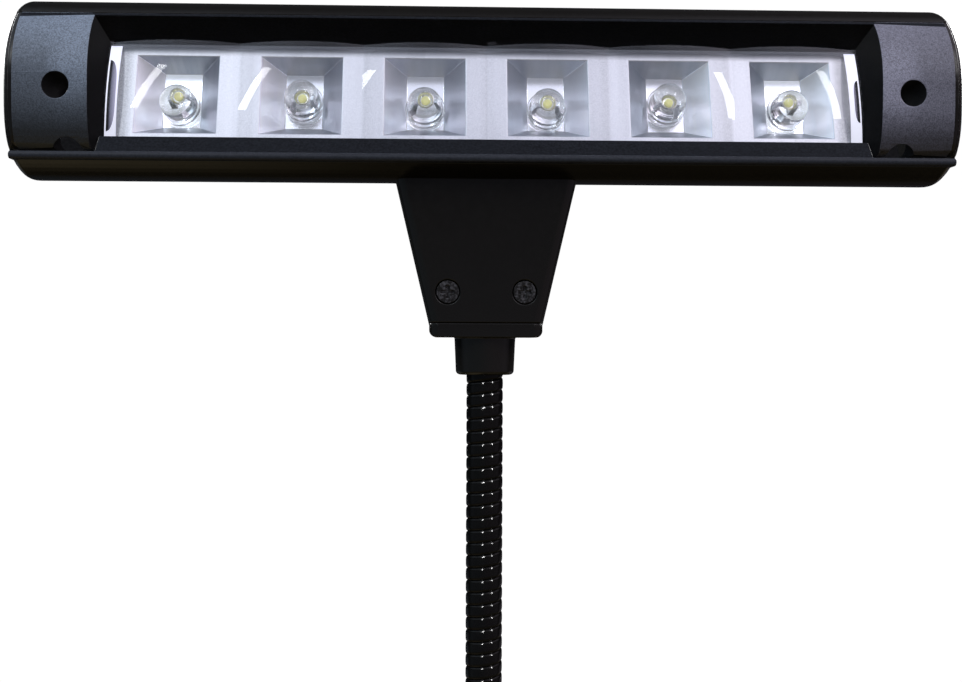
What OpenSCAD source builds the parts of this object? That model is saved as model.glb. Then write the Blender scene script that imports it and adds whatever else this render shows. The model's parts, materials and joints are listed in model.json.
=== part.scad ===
// Clip-on music stand light: a drum-shaped head with six LEDs on a wound flexible arm, carried by a battery
// base with a spring clip. Lengths are millimetres. The origin is the middle of the fixed jaw pad's face,
// +Z runs up the arm and the head's window faces -Y.

/* [Head] */
// Outside diameter of the drum-shaped head
head_d = 36; // [35:0.5:39]
// Length of the head from end to end
head_l = 187; // [183:1:195]
// Wall of the head's rear shell and of the bezel's curved skin
shell_wall = 1.8; // [1.5:0.1:2.2]
// Thickness of the head's end walls, seen as a rim beside the cheeks
end_wall = 1.2; // [1:0.1:1.6]
// Rounding of the head's end edges
end_edge_r = 2; // [1.4:0.1:3]

/* [Bezel] */
// Width of each textured end cheek
cheek_w = 15.2; // [14.4:0.2:16]
// Height of the bezel's top edge above the head's axis
bezel_rise = 13.2; // [12.8:0.1:13.8]
// Drop of the bezel's bottom edge below the head's axis
bezel_drop = 14.1; // [13.8:0.1:14.6]
// Height of the thin brow above the opening
brow_h = 0.7; // [0.5:0.1:1.2]
// Wall of the recess behind the opening
recess_wall = 1.2; // [1:0.1:1.6]
// Fall of the recess's ceiling from the brow to the lens
ceiling_fall = 2.3; // [1.8:0.1:2.4]
// Diameter of the deep screw hole in each cheek
cheek_hole_d = 5.1; // [4.8:0.1:5.8]
// Distance of the cheek holes inward from the middle of the cheek
cheek_hole_inset = 1.5; // [0.5:0.1:1.8]
// Drop of the cheek holes below the head's axis
cheek_hole_drop = 2.2; // [1:0.2:4]
// Diameter of the moulded relief that cuts each cheek's lower edge
relief_d = 5.5; // [5:0.1:6]
// Distance of the reliefs inward from the middle of the cheek
relief_inset = 3.2; // [2.6:0.1:3.6]
// Distance of the reliefs' axes ahead of the head's axis
relief_ahead = 10.65; // [10.2:0.05:11]

/* [Glare shield] */
// Thickness of the shield's lip
lip_t = 1.6; // [1.2:0.1:1.8]
// Reach of the lip's front edge ahead of the head's axis
lip_reach = 14.2; // [13.6:0.1:15]
// Drop of the sill's top edge below the head's axis
sill_drop = 10.7; // [10.5:0.1:11.4]

/* [Window] */
// Backward tilt of the reflector and the lens
window_tilt = 14.4; // [12:0.2:16]
// Distance of the reflector's face ahead of the head's axis
face_ahead = 4.6; // [4.2:0.1:5]
// Drop of the reflector's middle below the head's axis
face_drop = 1.1; // [0.8:0.1:1.4]
// Height of the lens and the reflector
window_h = 22; // [21:0.2:22.4]
// Thickness of the clear lens
lens_t = 1.2; // [1:0.1:1.5]
// Gap between the reflector's face and the lens at the lens's lowest corners
lens_seat = 0.1; // [0.05:0.05:0.3]
// Rise of the lens over each cell, from the cell's edge to its middle
lens_cell_rise = 1; // [0.8:0.1:1.4]
// Radius of the lens's curve from top to bottom
lens_arc_r = 45; // [40:1:60]
// Length of the slot in each end wall of the lens
lens_slot_l = 12; // [8:0.5:14]

/* [Reflector] */
// Length of the opening that the row of cells leaves over
row_margin = 3; // [2:0.1:4]
// Width of a funnel at the reflector's face
funnel_w = 16.7; // [15:0.1:18]
// Height of a funnel at the reflector's face
funnel_h = 17.1; // [16:0.1:18]
// Width of a funnel's floor
floor_w = 7.8; // [7.6:0.1:9]
// Height of a funnel's floor
floor_h = 12.2; // [11:0.1:13]
// Rise of the floor's middle above the funnel's middle
floor_shift = 1.2; // [0:0.1:1.6]
// Depth of a funnel
funnel_depth = 5.8; // [5:0.1:6.5]
// Wall of the reflector
reflector_t = 1; // [0.8:0.1:1.2]

/* [LEDs] */
// Diameter of an LED's round nose
led_d = 7.2; // [6:0.1:7.6]
// Height of an LED from its foot to its tip
led_h = 6.5; // [5.6:0.1:7]
// Diameter of the rim round an LED's foot
led_rim_d = 8.2; // [7.7:0.1:8.3]
// Height of the rim round an LED's foot
led_rim_h = 1; // [0.6:0.1:1.4]
// Thickness of the LED board
board_t = 1.6; // [1.2:0.1:2]
// Gap between the funnels' floors and the LED board
board_gap = 1; // [0.6:0.1:1.6]

/* [Neck] */
// Distance from the head's axis down to the neck's end cap
neck_drop = 47.3; // [45:0.1:50]
// Width of the neck at its end cap
neck_bottom_w = 23.1; // [22:0.1:25]
// Width of the neck where it meets the head
neck_top_w = 37; // [34:0.1:40]
// Depth of the neck from front to back
neck_depth = 15.5; // [15:0.1:17]
// Rounding of the neck's long edges
neck_edge_r = 2; // [1.2:0.1:2.6]
// Thickness of the end cap's plate
cap_t = 3; // [2.4:0.1:4]
// Length of the end cap's collar
collar_l = 7.7; // [7:0.1:9]
// Diameter of the collar beside the end cap's plate
collar_d = 12.7; // [12.4:0.1:14]
// Narrowing of the collar towards its end
collar_taper = 0.6; // [0.2:0.1:1]
// Distance between the two neck screws
neck_screw_pitch = 15.6; // [15.2:0.1:16]
// Height of the neck screws above the end cap
neck_screw_rise = 6.2; // [5.8:0.1:8]
// Diameter of a screw's head
screw_head_d = 4.6; // [4.2:0.1:4.8]
// Diameter of a screw's shank
screw_d = 2.2; // [2:0.1:2.4]

/* [Gooseneck] */
// Outside diameter of the winding
arm_d = 7.6; // [7.4:0.1:8]
// Length of the arm between its end joints
arm_l = 230; // [225:1:260]
// Number of rigid links that the arm is divided into
links = 15; // [15:1:15]
// Pitch of the winding
wind_pitch = 2.56; // [2.5:0.02:2.8]
// Height of one turn's bead along the arm
bead_h = 1.9; // [1.7:0.05:2]
// Depth of the bead from its outside to its inside
bead_depth = 1.1; // [0.9:0.05:1.15]
// Radius of the ball between two links
ball_r = 1.75; // [1.6:0.05:1.8]
// Bore through every link for the lead
lead_bore_d = 1.5; // [1.2:0.1:1.6]
// Room at each ball that lets a link tilt
tilt_room = 1.6; // [1.55:0.05:1.8]

/* [Base] */
// Width of the base
base_w = 54; // [54:1:60]
// Depth of the base
base_depth = 22; // [22:0.5:24]
// Height of the base
base_h = 82; // [82:1:90]
// Drop of the base's underside below the jaw pads' middle
base_drop = 24; // [23:0.5:26]
// Rounding of the base's upright edges
base_corner_r = 4; // [3:0.5:5]
// Rounding of the base's shoulders, seen from the front
base_shoulder_r = 5; // [3:0.5:6]
// Wall of the base shell
base_wall = 2.5; // [2.2:0.1:3]
// Diameter of the lower collar
lower_collar_d = 13; // [12.4:0.1:14]
// Height of the lower collar above the base
lower_collar_h = 8; // [7:0.5:10]

/* [Battery] */
// Diameter of a battery cell
cell_d = 10.5; // [10.5:0.1:10.5]
// Length of a battery cell with its button
cell_l = 44.5; // [44.5:0.1:44.5]
// Distance between neighbouring cells
cell_pitch = 11.2; // [11:0.1:11.6]
// Room for the contacts at each end of the cells
contact_room = 2; // [1.8:0.1:2.4]
// Thickness of the battery door
door_t = 2; // [1.8:0.1:2.2]

/* [Switch] */
// Diameter of the push button
button_d = 9; // [8:0.1:9.4]
// Height of the button above the base
button_h = 2.4; // [2.2:0.1:3]
// Distance of the button from the arm's axis
button_offset = 14.5; // [14.2:0.1:15]
// Travel of the button
button_travel = 1.5; // [1:0.1:1.6]

/* [Clip] */
// Thickness of each rubber pad
pad_t = 3; // [2.5:0.1:3.5]
// Width of each rubber pad
pad_w = 36; // [32:0.5:38]
// Height of each rubber pad
pad_h = 18; // [16:0.5:19]
// Gap that the jaw's stop leaves between the pads
jaw_gap = 2.6; // [2.4:0.1:3]
// Thickness of the moving jaw
jaw_t = 3; // [2.6:0.1:3.4]
// Width of the moving jaw
jaw_w = 40; // [39:0.5:44]
// Height of the hinge pin above the pads' middle
hinge_rise = 24; // [23.5:0.1:26]
// Distance of the hinge pin ahead of the fixed pad's face
hinge_ahead = 4; // [3.8:0.1:4.6]
// Radius of the hinge pin
pin_r = 1.5; // [1.4:0.05:1.7]
// Radius of the hinge's ears and knuckles
ear_r = 4.4; // [4:0.1:4.6]
// Thickness of each hinge ear
ear_t = 4; // [3.5:0.1:5]
// Height of the lever's tip above the hinge
lever_rise = 36; // [32:0.5:40]
// Reach of the lever's tip ahead of the hinge
lever_reach = 23; // [22:0.5:26]
// Radius of the torsion spring's wire
spring_wire_r = 0.6; // [0.5:0.05:0.7]
// Mean radius of the torsion spring's coil
spring_r = 3; // [2.9:0.05:3.2]

/* [Fits] */
// Gap between fixed pieces that fit into each other
fit_gap = 0.1; // [0.05:0.05:0.15]
// Gap between pieces that slide past each other
slide_gap = 0.3; // [0.25:0.05:0.4]
// Radial gap of a pin in a turning hole
turn_gap = 0.08; // [0.05:0.01:0.1]
// Radial gap between a ball and its cup
ball_gap = 0.1; // [0.06:0.02:0.14]

/* [Hidden] */
$fn = 72;
FIXED_NODES = [
    "base_shell", "base_back", "base_screws", "battery_door", "contact_strips", "control_board",
    "switch_unit", "switch_button", "fixed_pad", "clip_jaw", "moving_pad", "hinge_pin", "torsion_spring",
    "lower_collar", "collar_nut", "neck_end_cap", "neck_cover", "neck_screws", "rear_shell", "front_bezel",
    "bezel_screws", "glare_shield", "lens_cover", "reflector", "led_board"
];
leds = 6;
cells = 3;
function led_name(i) = str("led_", i);
function cell_name(i) = str("battery_", i);
function link_name(i) = str("gooseneck_", i);

// Colours
shell_black = [0.07, 0.07, 0.075];
bezel_charcoal = [0.17, 0.175, 0.185];
arm_black = [0.05, 0.05, 0.05];
silver = [0.78, 0.79, 0.82];
steel = [0.55, 0.56, 0.58];
rubber_black = [0.1, 0.1, 0.1];
clear_blue = [0.85, 0.9, 0.95, 0.4];
board_green = [0.15, 0.35, 0.22];
cell_grey = [0.5, 0.52, 0.55];

// Overshoot of a cut past the face that it opens
past = 1;

// Head
head_r = head_d / 2;
cavity_r = head_r - shell_wall;
cavity_half = head_l / 2 - end_wall;
bezel_half = cavity_half - fit_gap;
opening_half = cavity_half - cheek_w;
led_pitch = (2 * opening_half - row_margin) / leds;
opening_rise = bezel_rise - brow_h;
brow_ahead = sqrt(head_r * head_r - opening_rise * opening_rise);
lip_top = -bezel_drop - fit_gap;
lip_bottom = lip_top - lip_t;
cheek_mid = opening_half + cheek_w / 2;
cheek_hole_x = cheek_mid - cheek_hole_inset;
boss_face = -2;
boss_r = cheek_hole_d / 2 + shell_wall;
boss_floor = 1.6;
bezel_screw_l = 9;
neck_screw_l = 11;
base_screw_l = 2.6;
screw_head_h = 1.5;
neck_sink = 1.8;
edge_overrun = 1.1;
shield_tail = 5;
sill_top_w = 0.6;
sill_toe = 0.5;
skin_front_limit = 4;

// Window, in the tilted frame whose -Y is the way the light leaves
lens_half_h = window_h / 2;
lens_edge_sag = lens_arc_r - sqrt(lens_arc_r * lens_arc_r - lens_half_h * lens_half_h);
lens_crown = lens_seat + lens_t + lens_edge_sag + lens_cell_rise;
lens_half_l = opening_half - slide_gap;
lens_cell_r = (led_pitch * led_pitch / 4 + lens_cell_rise * lens_cell_rise) / (2 * lens_cell_rise);
lens_skirt = 3;
lens_slot_h = 2.4;
reflector_half_l = lens_half_l - lens_t - slide_gap;
floor_back = funnel_depth + reflector_t;
board_face = floor_back + board_gap;
board_back = board_face + board_t;
board_half_h = 8;
board_half_l = reflector_half_l - 2;
post_r = 1.4;
leg_r = 0.35;
leg_pitch = 2.54;
leg_slot = 1.4;
leg_sunk = 1.2;
led_lift = 0.8;
// Lean of each LED, in degrees up and then to the right, as they were soldered
led_lean = [[4, -6], [0, -3], [3, -2], [3, 2], [0, 3], [4, 6]];
// Rise of each LED's foot above its funnel's middle, as they were soldered
led_rise = [-0.6, 0.5, -0.7, -0.7, 0.6, -0.5];
rib_t = 1.6;

// Arm
arm_r = arm_d / 2;
arm_y = pad_t + base_depth / 2;
base_top = base_h - base_drop;
first_pivot = base_top + lower_collar_h + tilt_room;
link_l = arm_l / links;
last_pivot = first_pivot + arm_l;
bead_mid_r = arm_r - bead_depth / 2;
rings_per_turn = 8;
bead_sides = 6;
core_r = (arm_r - bead_depth) * cos(180 / rings_per_turn) - fit_gap;
ball_neck_r = 1.3;
wind_start = fit_gap + bead_h / 2;
wind_turns = (link_l - tilt_room - wind_start - bead_h / 2) / wind_pitch;
wind_steps = floor(wind_turns * rings_per_turn);

// Head's place above the arm
head_z = last_pivot + collar_l + cap_t + neck_drop;
neck_split = -1;
spigot_r = 5;
spigot_l = 7;
neck_slope = (neck_top_w - neck_bottom_w) / 2 / (neck_drop - head_r);
neck_angle = atan(neck_slope);
collar_edge_r = 0.9;

// Base
base_front = pad_t;
base_back_y = pad_t + base_depth;
base_mid_z = base_top - base_h / 2;
bay_half_w = cell_pitch * (cells - 1) / 2 + cell_d / 2 + slide_gap;
bay_bottom = -base_drop + base_wall;
bay_top = bay_bottom + cell_l + 2 * contact_room;
cell_y = base_front + base_wall + slide_gap + cell_d / 2;
bay_back = cell_y + cell_d / 2 + slide_gap;
chamber_bottom = bay_top + base_wall;
chamber_top = base_top - base_wall;
chamber_half_w = base_w / 2 - base_wall - 2;
chamber_front = base_front + base_wall;
back_wall = 3.5;
chamber_back = base_back_y - back_wall;
panel_t = 1.8;
panel_half_w = base_w / 2 - base_corner_r - 1.5;
panel_bottom = chamber_bottom + 1;
panel_top = base_top - base_shoulder_r - 0.5;
panel_ledge = 4.6;
panel_lap = 2;
panel_screw_x = 15;
door_half_w = bay_half_w + 1;
tongue_w = 2;
tongue_t = 1.8;
door_top = bay_top + 1;
door_back = base_back_y;
door_front = door_back - door_t;
stem_r = 4.8;
stem_l = 6;
nut_r = 7.6;
nut_t = 2.6;
button_flange_w = 0.9;
button_flange_t = 1.4;
plunger_r = 1.5;
switch_w = 8.4;
switch_h = 6;
main_board_t = 1.6;
switch_top = chamber_top - slide_gap - button_flange_t - button_travel - slide_gap;
main_board_top = switch_top - switch_h;

// Clip
hinge_y = -hinge_ahead;
pad_back = -jaw_gap - pad_t;
jaw_mid_y = pad_back - jaw_t / 2;
shank_gap = 1.3;
shank_y = hinge_y - ear_r - shank_gap - jaw_t / 2;
lever_tip = [hinge_y - lever_reach, hinge_rise + lever_rise];
lever_foot = [shank_y, hinge_rise + 2];
ear_x = jaw_w / 2 - ear_t / 2 - 1;
knuckle_w = 5.5;
knuckle_x = ear_x - ear_t / 2 - slide_gap - knuckle_w / 2;
spring_half_l = 5;
spring_leg = 15;
lever_angle = atan((lever_foot[0] - lever_tip[0]) / (lever_tip[1] - lever_foot[1]));
pin_half_l = ear_x + ear_t / 2;

// Common shapes

module x_rod(r, l) rotate([0, 90, 0]) cylinder(r = r, h = l, center = true);

module y_rod(r, y0, y1) translate([0, y0, 0]) rotate([-90, 0, 0]) cylinder(r = r, h = y1 - y0);

// A flat outline in Y and Z, drawn out along X to both sides
module along_x(l) rotate([90, 0, 90]) translate([0, 0, -l / 2]) linear_extrude(l) children();

// A flat outline in X and Z, drawn out along Y from y0 to y1
module along_y(y0, y1) translate([0, y1, 0]) rotate([90, 0, 0]) linear_extrude(y1 - y0) children();

// A block given by its lowest and highest corners
module block(low, high) translate(low) cube(high - low);

module both_sides() {
    children();
    mirror([1, 0, 0]) children();
}

module rounded_rect(w, h, r) {
    square([w - 2 * r, h], center = true);
    square([w, h - 2 * r], center = true);
    for (sx = [-1, 1], sy = [-1, 1]) {
        translate([sx * (w / 2 - r), sy * (h / 2 - r)]) circle(r);
    }
}

// Points at an even distance to the left of a bent line, with mitred corners
function left_of(run) = [-run[1], run[0]] / norm(run);
function line_side(points, d) = [
    for (i = [0 : len(points) - 1])
        let (before = left_of(points[max(i, 1)] - points[max(i, 1) - 1]),
             after = left_of(points[min(i + 1, len(points) - 1)] - points[min(i, len(points) - 2)]),
             mitre = before + after)
        points[i] + mitre * (2 * d / (mitre * mitre))
];

// A bent strip of even thickness along a line of points
module bent_strip(points, t) {
    far_side = line_side(points, -t / 2);
    polygon(concat(line_side(points, t / 2), [for (i = [len(points) - 1 : -1 : 0]) far_side[i]]));
}

// Faces of a closed tube of rings, each with the same number of sides
function tube_faces(rings, sides) = concat(
    [for (k = [0 : rings - 2], s = [0 : sides - 1])
        [k * sides + s, k * sides + (s + 1) % sides, (k + 1) * sides + s]],
    [for (k = [0 : rings - 2], s = [0 : sides - 1])
        [k * sides + (s + 1) % sides, (k + 1) * sides + (s + 1) % sides, (k + 1) * sides + s]],
    [for (s = [1 : sides - 2]) [0, s + 1, s]],
    [for (s = [1 : sides - 2]) [(rings - 1) * sides, (rings - 1) * sides + s, (rings - 1) * sides + s + 1]]
);

// Least distance between points of a winding that lie at least most of a turn apart
function self_gap(points, sides, apart) = min(
    [for (i = [0 : len(points) - 1], j = [i + apart * sides : 1 : len(points) - 1])
        norm(points[i] - points[j])]
);

module at_head() translate([0, arm_y, head_z]) children();

module at_window() at_head() translate([0, -face_ahead, -face_drop]) rotate([-window_tilt, 0, 0]) children();

function led_x(i) = (i - (leds + 1) / 2) * led_pitch;

// Head

module drum(r, l, edge) {
    rotate([0, 90, 0]) translate([0, 0, -l / 2]) rotate_extrude() {
        square([r - edge, l]);
        translate([0, edge]) square([r, l - 2 * edge]);
        for (y = [edge, l - edge]) translate([r - edge, y]) circle(edge);
    }
}

// The neck's tapered block with rounded long edges, from one height to another
module neck_block(z0, z1) {
    function half_w(z) = neck_bottom_w / 2 + (z + neck_drop) * neck_slope;
    edge_in = neck_edge_r / cos(neck_angle);
    edge_y = neck_depth / 2 - neck_edge_r;
    intersection() {
        block([-neck_top_w, -neck_depth, z0], [neck_top_w, neck_depth, z1]);
        union() {
            along_y(-neck_depth / 2, neck_depth / 2) polygon([
                [-half_w(z0) + edge_in, z0], [half_w(z0) - edge_in, z0],
                [half_w(z1) - edge_in, z1], [-half_w(z1) + edge_in, z1]
            ]);
            along_y(-edge_y, edge_y) polygon([
                [-half_w(z0), z0], [half_w(z0), z0], [half_w(z1), z1], [-half_w(z1), z1]
            ]);
            both_sides() for (y = [-edge_y, edge_y]) {
                translate([half_w(z0) - edge_in, y, z0]) rotate([0, neck_angle, 0])
                    translate([0, 0, -neck_edge_r])
                        cylinder(r = neck_edge_r, h = 2 * neck_edge_r + (z1 - z0) * edge_overrun);
            }
        }
    }
}

module neck_hollow() {
    translate([0, 0, -neck_drop - past]) cylinder(r = spigot_r + fit_gap, h = spigot_l + 2 * past);
}

module at_neck_screws() {
    both_sides() translate([neck_screw_pitch / 2, 0, neck_screw_rise - neck_drop]) children();
}

module rear_shell() color(shell_black) at_head() difference() {
    union() {
        difference() {
            union() {
                drum(head_r, head_l, end_edge_r);
                intersection() {
                    neck_block(-neck_drop, -head_r / 2);
                    block([-neck_top_w, neck_split, -neck_drop], [neck_top_w, neck_depth, 0]);
                }
            }
            x_rod(cavity_r, 2 * cavity_half);
            block([-cavity_half, -head_r - past, lip_bottom - fit_gap],
                  [cavity_half, -skin_front_limit, bezel_rise + fit_gap]);
        }
        // Screw bosses and the ribs that back the LED board
        intersection() {
            drum(head_r - shell_wall / 2, head_l - end_wall, end_edge_r);
            union() {
                both_sides() translate([cheek_hole_x, 0, -cheek_hole_drop]) y_rod(boss_r, boss_face, head_r);
                for (i = [-2, 0, 2]) translate([i * led_pitch, 0, 0])
                    translate([0, -face_ahead, -face_drop]) rotate([-window_tilt, 0, 0])
                    block([-rib_t / 2, board_back + fit_gap, -board_half_h],
                          [rib_t / 2, head_d, board_half_h]);
            }
        }
    }
    both_sides() translate([cheek_hole_x, 0, -cheek_hole_drop])
        y_rod(screw_d / 2, boss_face - past, boss_face + bezel_screw_l);
    neck_hollow();
    at_neck_screws() y_rod(screw_d / 2, neck_split - past, neck_screw_l - neck_depth / 2 + neck_sink);
}

module front_bezel() color(bezel_charcoal) at_head() difference() {
    union() {
        // Curved skin with the opening cut out
        difference() {
            intersection() {
                x_rod(head_r, 2 * bezel_half);
                block([-head_l, -head_r - past, -bezel_drop], [head_l, -skin_front_limit, bezel_rise]);
            }
            x_rod(cavity_r, head_l);
            block([-opening_half, -head_r - past, -head_r], [opening_half, 0, opening_rise]);
        }
        // Ceiling of the recess
        along_x(2 * opening_half + past) polygon([
            [-brow_ahead, opening_rise],
            [-2, opening_rise - ceiling_fall],
            [-2, opening_rise - ceiling_fall + recess_wall],
            [-brow_ahead + shell_wall, bezel_rise],
            [-brow_ahead + brow_h, bezel_rise]
        ]);
        // Side walls of the recess
        both_sides() intersection() {
            x_rod(head_r - shell_wall / 2, head_l);
            block([opening_half, -head_r, -bezel_drop], [opening_half + recess_wall, 1, bezel_rise]);
        }
        // Sleeves round the deep screw holes
        both_sides() intersection() {
            x_rod(head_r - shell_wall / 2, head_l);
            translate([cheek_hole_x, 0, -cheek_hole_drop]) y_rod(boss_r, -head_r, boss_face - fit_gap);
        }
    }
    both_sides() translate([cheek_hole_x, 0, -cheek_hole_drop]) {
        y_rod(cheek_hole_d / 2, -head_r - past, boss_face - boss_floor);
        y_rod(screw_d / 2 + fit_gap, -head_r, boss_face + past);
    }
    both_sides() translate([cheek_mid - relief_inset, -relief_ahead, -bezel_drop - past])
        cylinder(d = relief_d, h = bezel_drop / 2);
}

// A pan-head screw pointing along +Y with a cross recess, its head's underside at the origin
module pan_screw(shank_l) {
    cross_w = 0.7;
    cross_l = 2.6;
    difference() {
        y_rod(screw_head_d / 2, -screw_head_h, 0);
        for (turn = [0, 90]) rotate([0, turn, 0])
            block([-cross_l / 2, -screw_head_h - past, -cross_w / 2],
                  [cross_l / 2, -screw_head_h / 2, cross_w / 2]);
    }
    y_rod(screw_d / 2 - fit_gap / 2, -screw_head_h / 4, shank_l);
}

module bezel_screws() color(steel) at_head() both_sides()
    translate([cheek_hole_x, boss_face - boss_floor - fit_gap / 2, -cheek_hole_drop])
        pan_screw(bezel_screw_l);

module glare_shield() color(bezel_charcoal) at_head() difference() {
    union() {
        along_x(head_l) {
            polygon([
                [-shield_tail, lip_bottom], [-lip_reach + lip_t / 2, lip_bottom],
                [-lip_reach + lip_t / 2, lip_top], [-shield_tail, lip_top]
            ]);
            translate([-lip_reach + lip_t / 2, (lip_top + lip_bottom) / 2]) circle(lip_t / 2);
        }
        along_x(2 * opening_half - 2 * fit_gap) polygon([
            [-lip_reach + lip_t / 2 + sill_toe, lip_top - lip_t / 2],
            [-lip_reach + lip_t / 2, lip_top],
            [-sill_back() - sill_top_w, -sill_drop],
            [-sill_back(), -sill_drop],
            [-sill_back(), lip_top - lip_t / 2]
        ]);
    }
    // The head's end walls stand in the lip's way behind its front edge
    both_sides() translate([head_l / 2, 0, 0]) x_rod(head_r + fit_gap, 2 * (end_wall + fit_gap));
    both_sides() block([bezel_half - past, -shield_tail - past, -head_r], [head_l, 0, 0]);
}

// Distance of the sill's back ahead of the head's axis, just clear of the lens's lower edge
function sill_back() =
    face_ahead + (window_h / 2) * sin(window_tilt)
    + (lens_crown - lens_edge_sag) * cos(window_tilt) + slide_gap;

// Outline of the scalloped lens, distance from the curve's axis along X and length along Y
module lens_outline(inset) intersection() {
    for (i = [1 : leds]) translate([lens_arc_r - lens_cell_r, led_x(i)])
        circle(lens_cell_r - inset, $fn = 96);
    translate([lens_arc_r - 2 * lens_crown, -lens_half_l + inset])
        square([3 * lens_crown, 2 * (lens_half_l - inset)]);
}

module lens_revolve(arc) translate([0, lens_arc_r - lens_crown, 0]) rotate([-90, 0, 0]) rotate([0, 90, 0])
    rotate([0, 0, -arc / 2]) rotate_extrude(angle = arc) children();

module lens_cover() color(clear_blue) at_window() {
    arc = 2 * asin(lens_half_h / lens_arc_r);
    difference() {
        union() {
            lens_revolve(arc) difference() {
                lens_outline(0);
                lens_outline(lens_t);
                translate([0, -lens_half_l - past]) square([lens_arc_r - lens_crown + lens_seat, head_l]);
            }
            both_sides() block([lens_half_l - lens_t, -lens_seat - lens_t, -lens_half_h + lens_t],
                               [lens_half_l, lens_skirt, lens_half_h - lens_t]);
        }
        both_sides() block([lens_half_l - 2 * lens_t, -lens_slot_h / 2, -lens_slot_l / 2],
                           [lens_half_l + past, lens_slot_h / 2, lens_slot_l / 2]);
    }
}

// A square funnel between the reflector's face and its floor, grown outward by a wall
module funnel(wall, front, back) {
    function half_x(d) = funnel_w / 2 + wall + (floor_w - funnel_w) / 2 * d / funnel_depth;
    function top_z(d) = funnel_h / 2 + wall + (floor_shift + floor_h / 2 - funnel_h / 2) * d / funnel_depth;
    function low_z(d) =
        -funnel_h / 2 - wall + (floor_shift - floor_h / 2 + funnel_h / 2) * d / funnel_depth;
    intersection() {
        linear_extrude(2 * funnel_h, center = true) polygon([
            [-half_x(front), front], [half_x(front), front], [half_x(back), back], [-half_x(back), back]
        ]);
        along_x(2 * funnel_w) polygon([
            [front, low_z(front)], [front, top_z(front)], [back, top_z(back)], [back, low_z(back)]
        ]);
    }
}

module reflector() color(silver) at_window() {
    difference() {
        union() {
            block([-reflector_half_l, 0, -lens_half_h], [reflector_half_l, reflector_t, lens_half_h]);
            for (i = [1 : leds]) translate([led_x(i), 0, 0]) funnel(reflector_t, 0, floor_back);
            for (i = [-2, 0, 2]) translate([i * led_pitch, 0, 0]) y_rod(post_r, 0, board_face);
        }
        for (i = [1 : leds]) translate([led_x(i), 0, 0]) {
            funnel(0, -past, funnel_depth);
            block([-leg_pitch / 2 - leg_slot, 0, led_rise[i - 1] - leg_slot],
                  [leg_pitch / 2 + leg_slot, floor_back + past, led_rise[i - 1] + leg_slot]);
        }
    }
}

module led_board() color(board_green) at_window() difference() {
    block([-board_half_l, board_face, -board_half_h], [board_half_l, board_back, board_half_h]);
    for (i = [1 : leds]) translate([led_x(i), 0, led_rise[i - 1]])
        block([-leg_pitch / 2 - leg_slot / 2, 0, -leg_slot / 2],
              [leg_pitch / 2 + leg_slot / 2, board_back + past, leg_slot / 2]);
}

// A clear round-nosed LED with a rim round its foot, on two straight legs
module led(i) color(clear_blue) at_window() translate([led_x(i), 0, led_rise[i - 1]]) {
    translate([0, funnel_depth - led_lift, 0]) rotate([led_lean[i - 1][0], 0, led_lean[i - 1][1]])
        rotate([90, 0, 0]) rotate_extrude() {
            square([led_rim_d / 2, led_rim_h]);
            square([led_d / 2, led_h - led_d / 2]);
            intersection() {
                translate([0, led_h - led_d / 2]) circle(led_d / 2);
                square([led_d, led_h]);
            }
        }
    for (s = [-1, 1]) translate([s * leg_pitch / 2, 0, 0])
        y_rod(leg_r, funnel_depth - led_lift - leg_sunk, board_face + board_t / 2);
}

// Neck

module neck_cover() color(shell_black) at_head() difference() {
    intersection() {
        neck_block(-neck_drop, -head_r / 2);
        block([-neck_top_w, -neck_depth, -neck_drop],
              [neck_top_w, neck_split - fit_gap, lip_bottom - fit_gap]);
    }
    x_rod(head_r + fit_gap, head_l);
    neck_hollow();
    at_neck_screws() {
        y_rod(screw_head_d / 2 + 2 * fit_gap, -neck_depth, -neck_depth / 2 + neck_sink);
        y_rod(screw_d / 2 + fit_gap, -neck_depth, 0);
    }
}

module neck_screws() color(steel) at_head() at_neck_screws()
    translate([0, -neck_depth / 2 + neck_sink - fit_gap / 2, 0]) pan_screw(neck_screw_l);

module neck_end_cap() color(shell_black) at_head() {
    cap_low = -neck_drop - cap_t;
    collar_low = cap_low - collar_l;
    end_r = (collar_d - collar_taper) / 2;
    difference() {
        union() {
            intersection() {
                translate([0, 0, cap_low]) linear_extrude(cap_t - fit_gap)
                    rounded_rect(neck_bottom_w, neck_depth, neck_edge_r);
                along_y(-neck_depth, neck_depth) translate([0, cap_low + cap_t])
                    rounded_rect(neck_bottom_w, 2 * cap_t, cap_t / 2);
            }
            rotate_extrude() {
                polygon([
                    [0, collar_low + collar_edge_r], [end_r, collar_low + collar_edge_r],
                    [collar_d / 2, cap_low], [collar_d / 2, cap_low + cap_t / 2], [0, cap_low + cap_t / 2]
                ]);
                square_low = [end_r - collar_edge_r, collar_edge_r];
                translate([0, collar_low]) square(square_low);
                translate([end_r - collar_edge_r, collar_low + collar_edge_r]) circle(collar_edge_r);
            }
            translate([0, 0, cap_low]) cylinder(r = spigot_r, h = cap_t + spigot_l);
        }
        translate([0, 0, collar_low]) sphere(ball_r + ball_gap);
        translate([0, 0, collar_low - past]) cylinder(d = lead_bore_d, h = head_d);
    }
}

// Gooseneck

// Points of one link's winding, a bead that climbs round the core
wind_points = [
    for (k = [0 : wind_steps], s = [0 : bead_sides - 1])
        let (turn = 360 * k / rings_per_turn,
             round_bead = 360 * s / bead_sides,
             r = bead_mid_r + bead_depth / 2 * cos(round_bead))
        [r * cos(turn), r * sin(turn),
         wind_start + wind_pitch * k / rings_per_turn + bead_h / 2 * sin(round_bead)]
];
echo(winding_self_gap = self_gap(wind_points, bead_sides, rings_per_turn - 2));

// A ball on a slim neck, its middle at the origin, standing on a shoulder below
module ball_end() {
    sphere(ball_r);
    translate([0, 0, -tilt_room]) cylinder(r = ball_neck_r, h = tilt_room);
}

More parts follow.
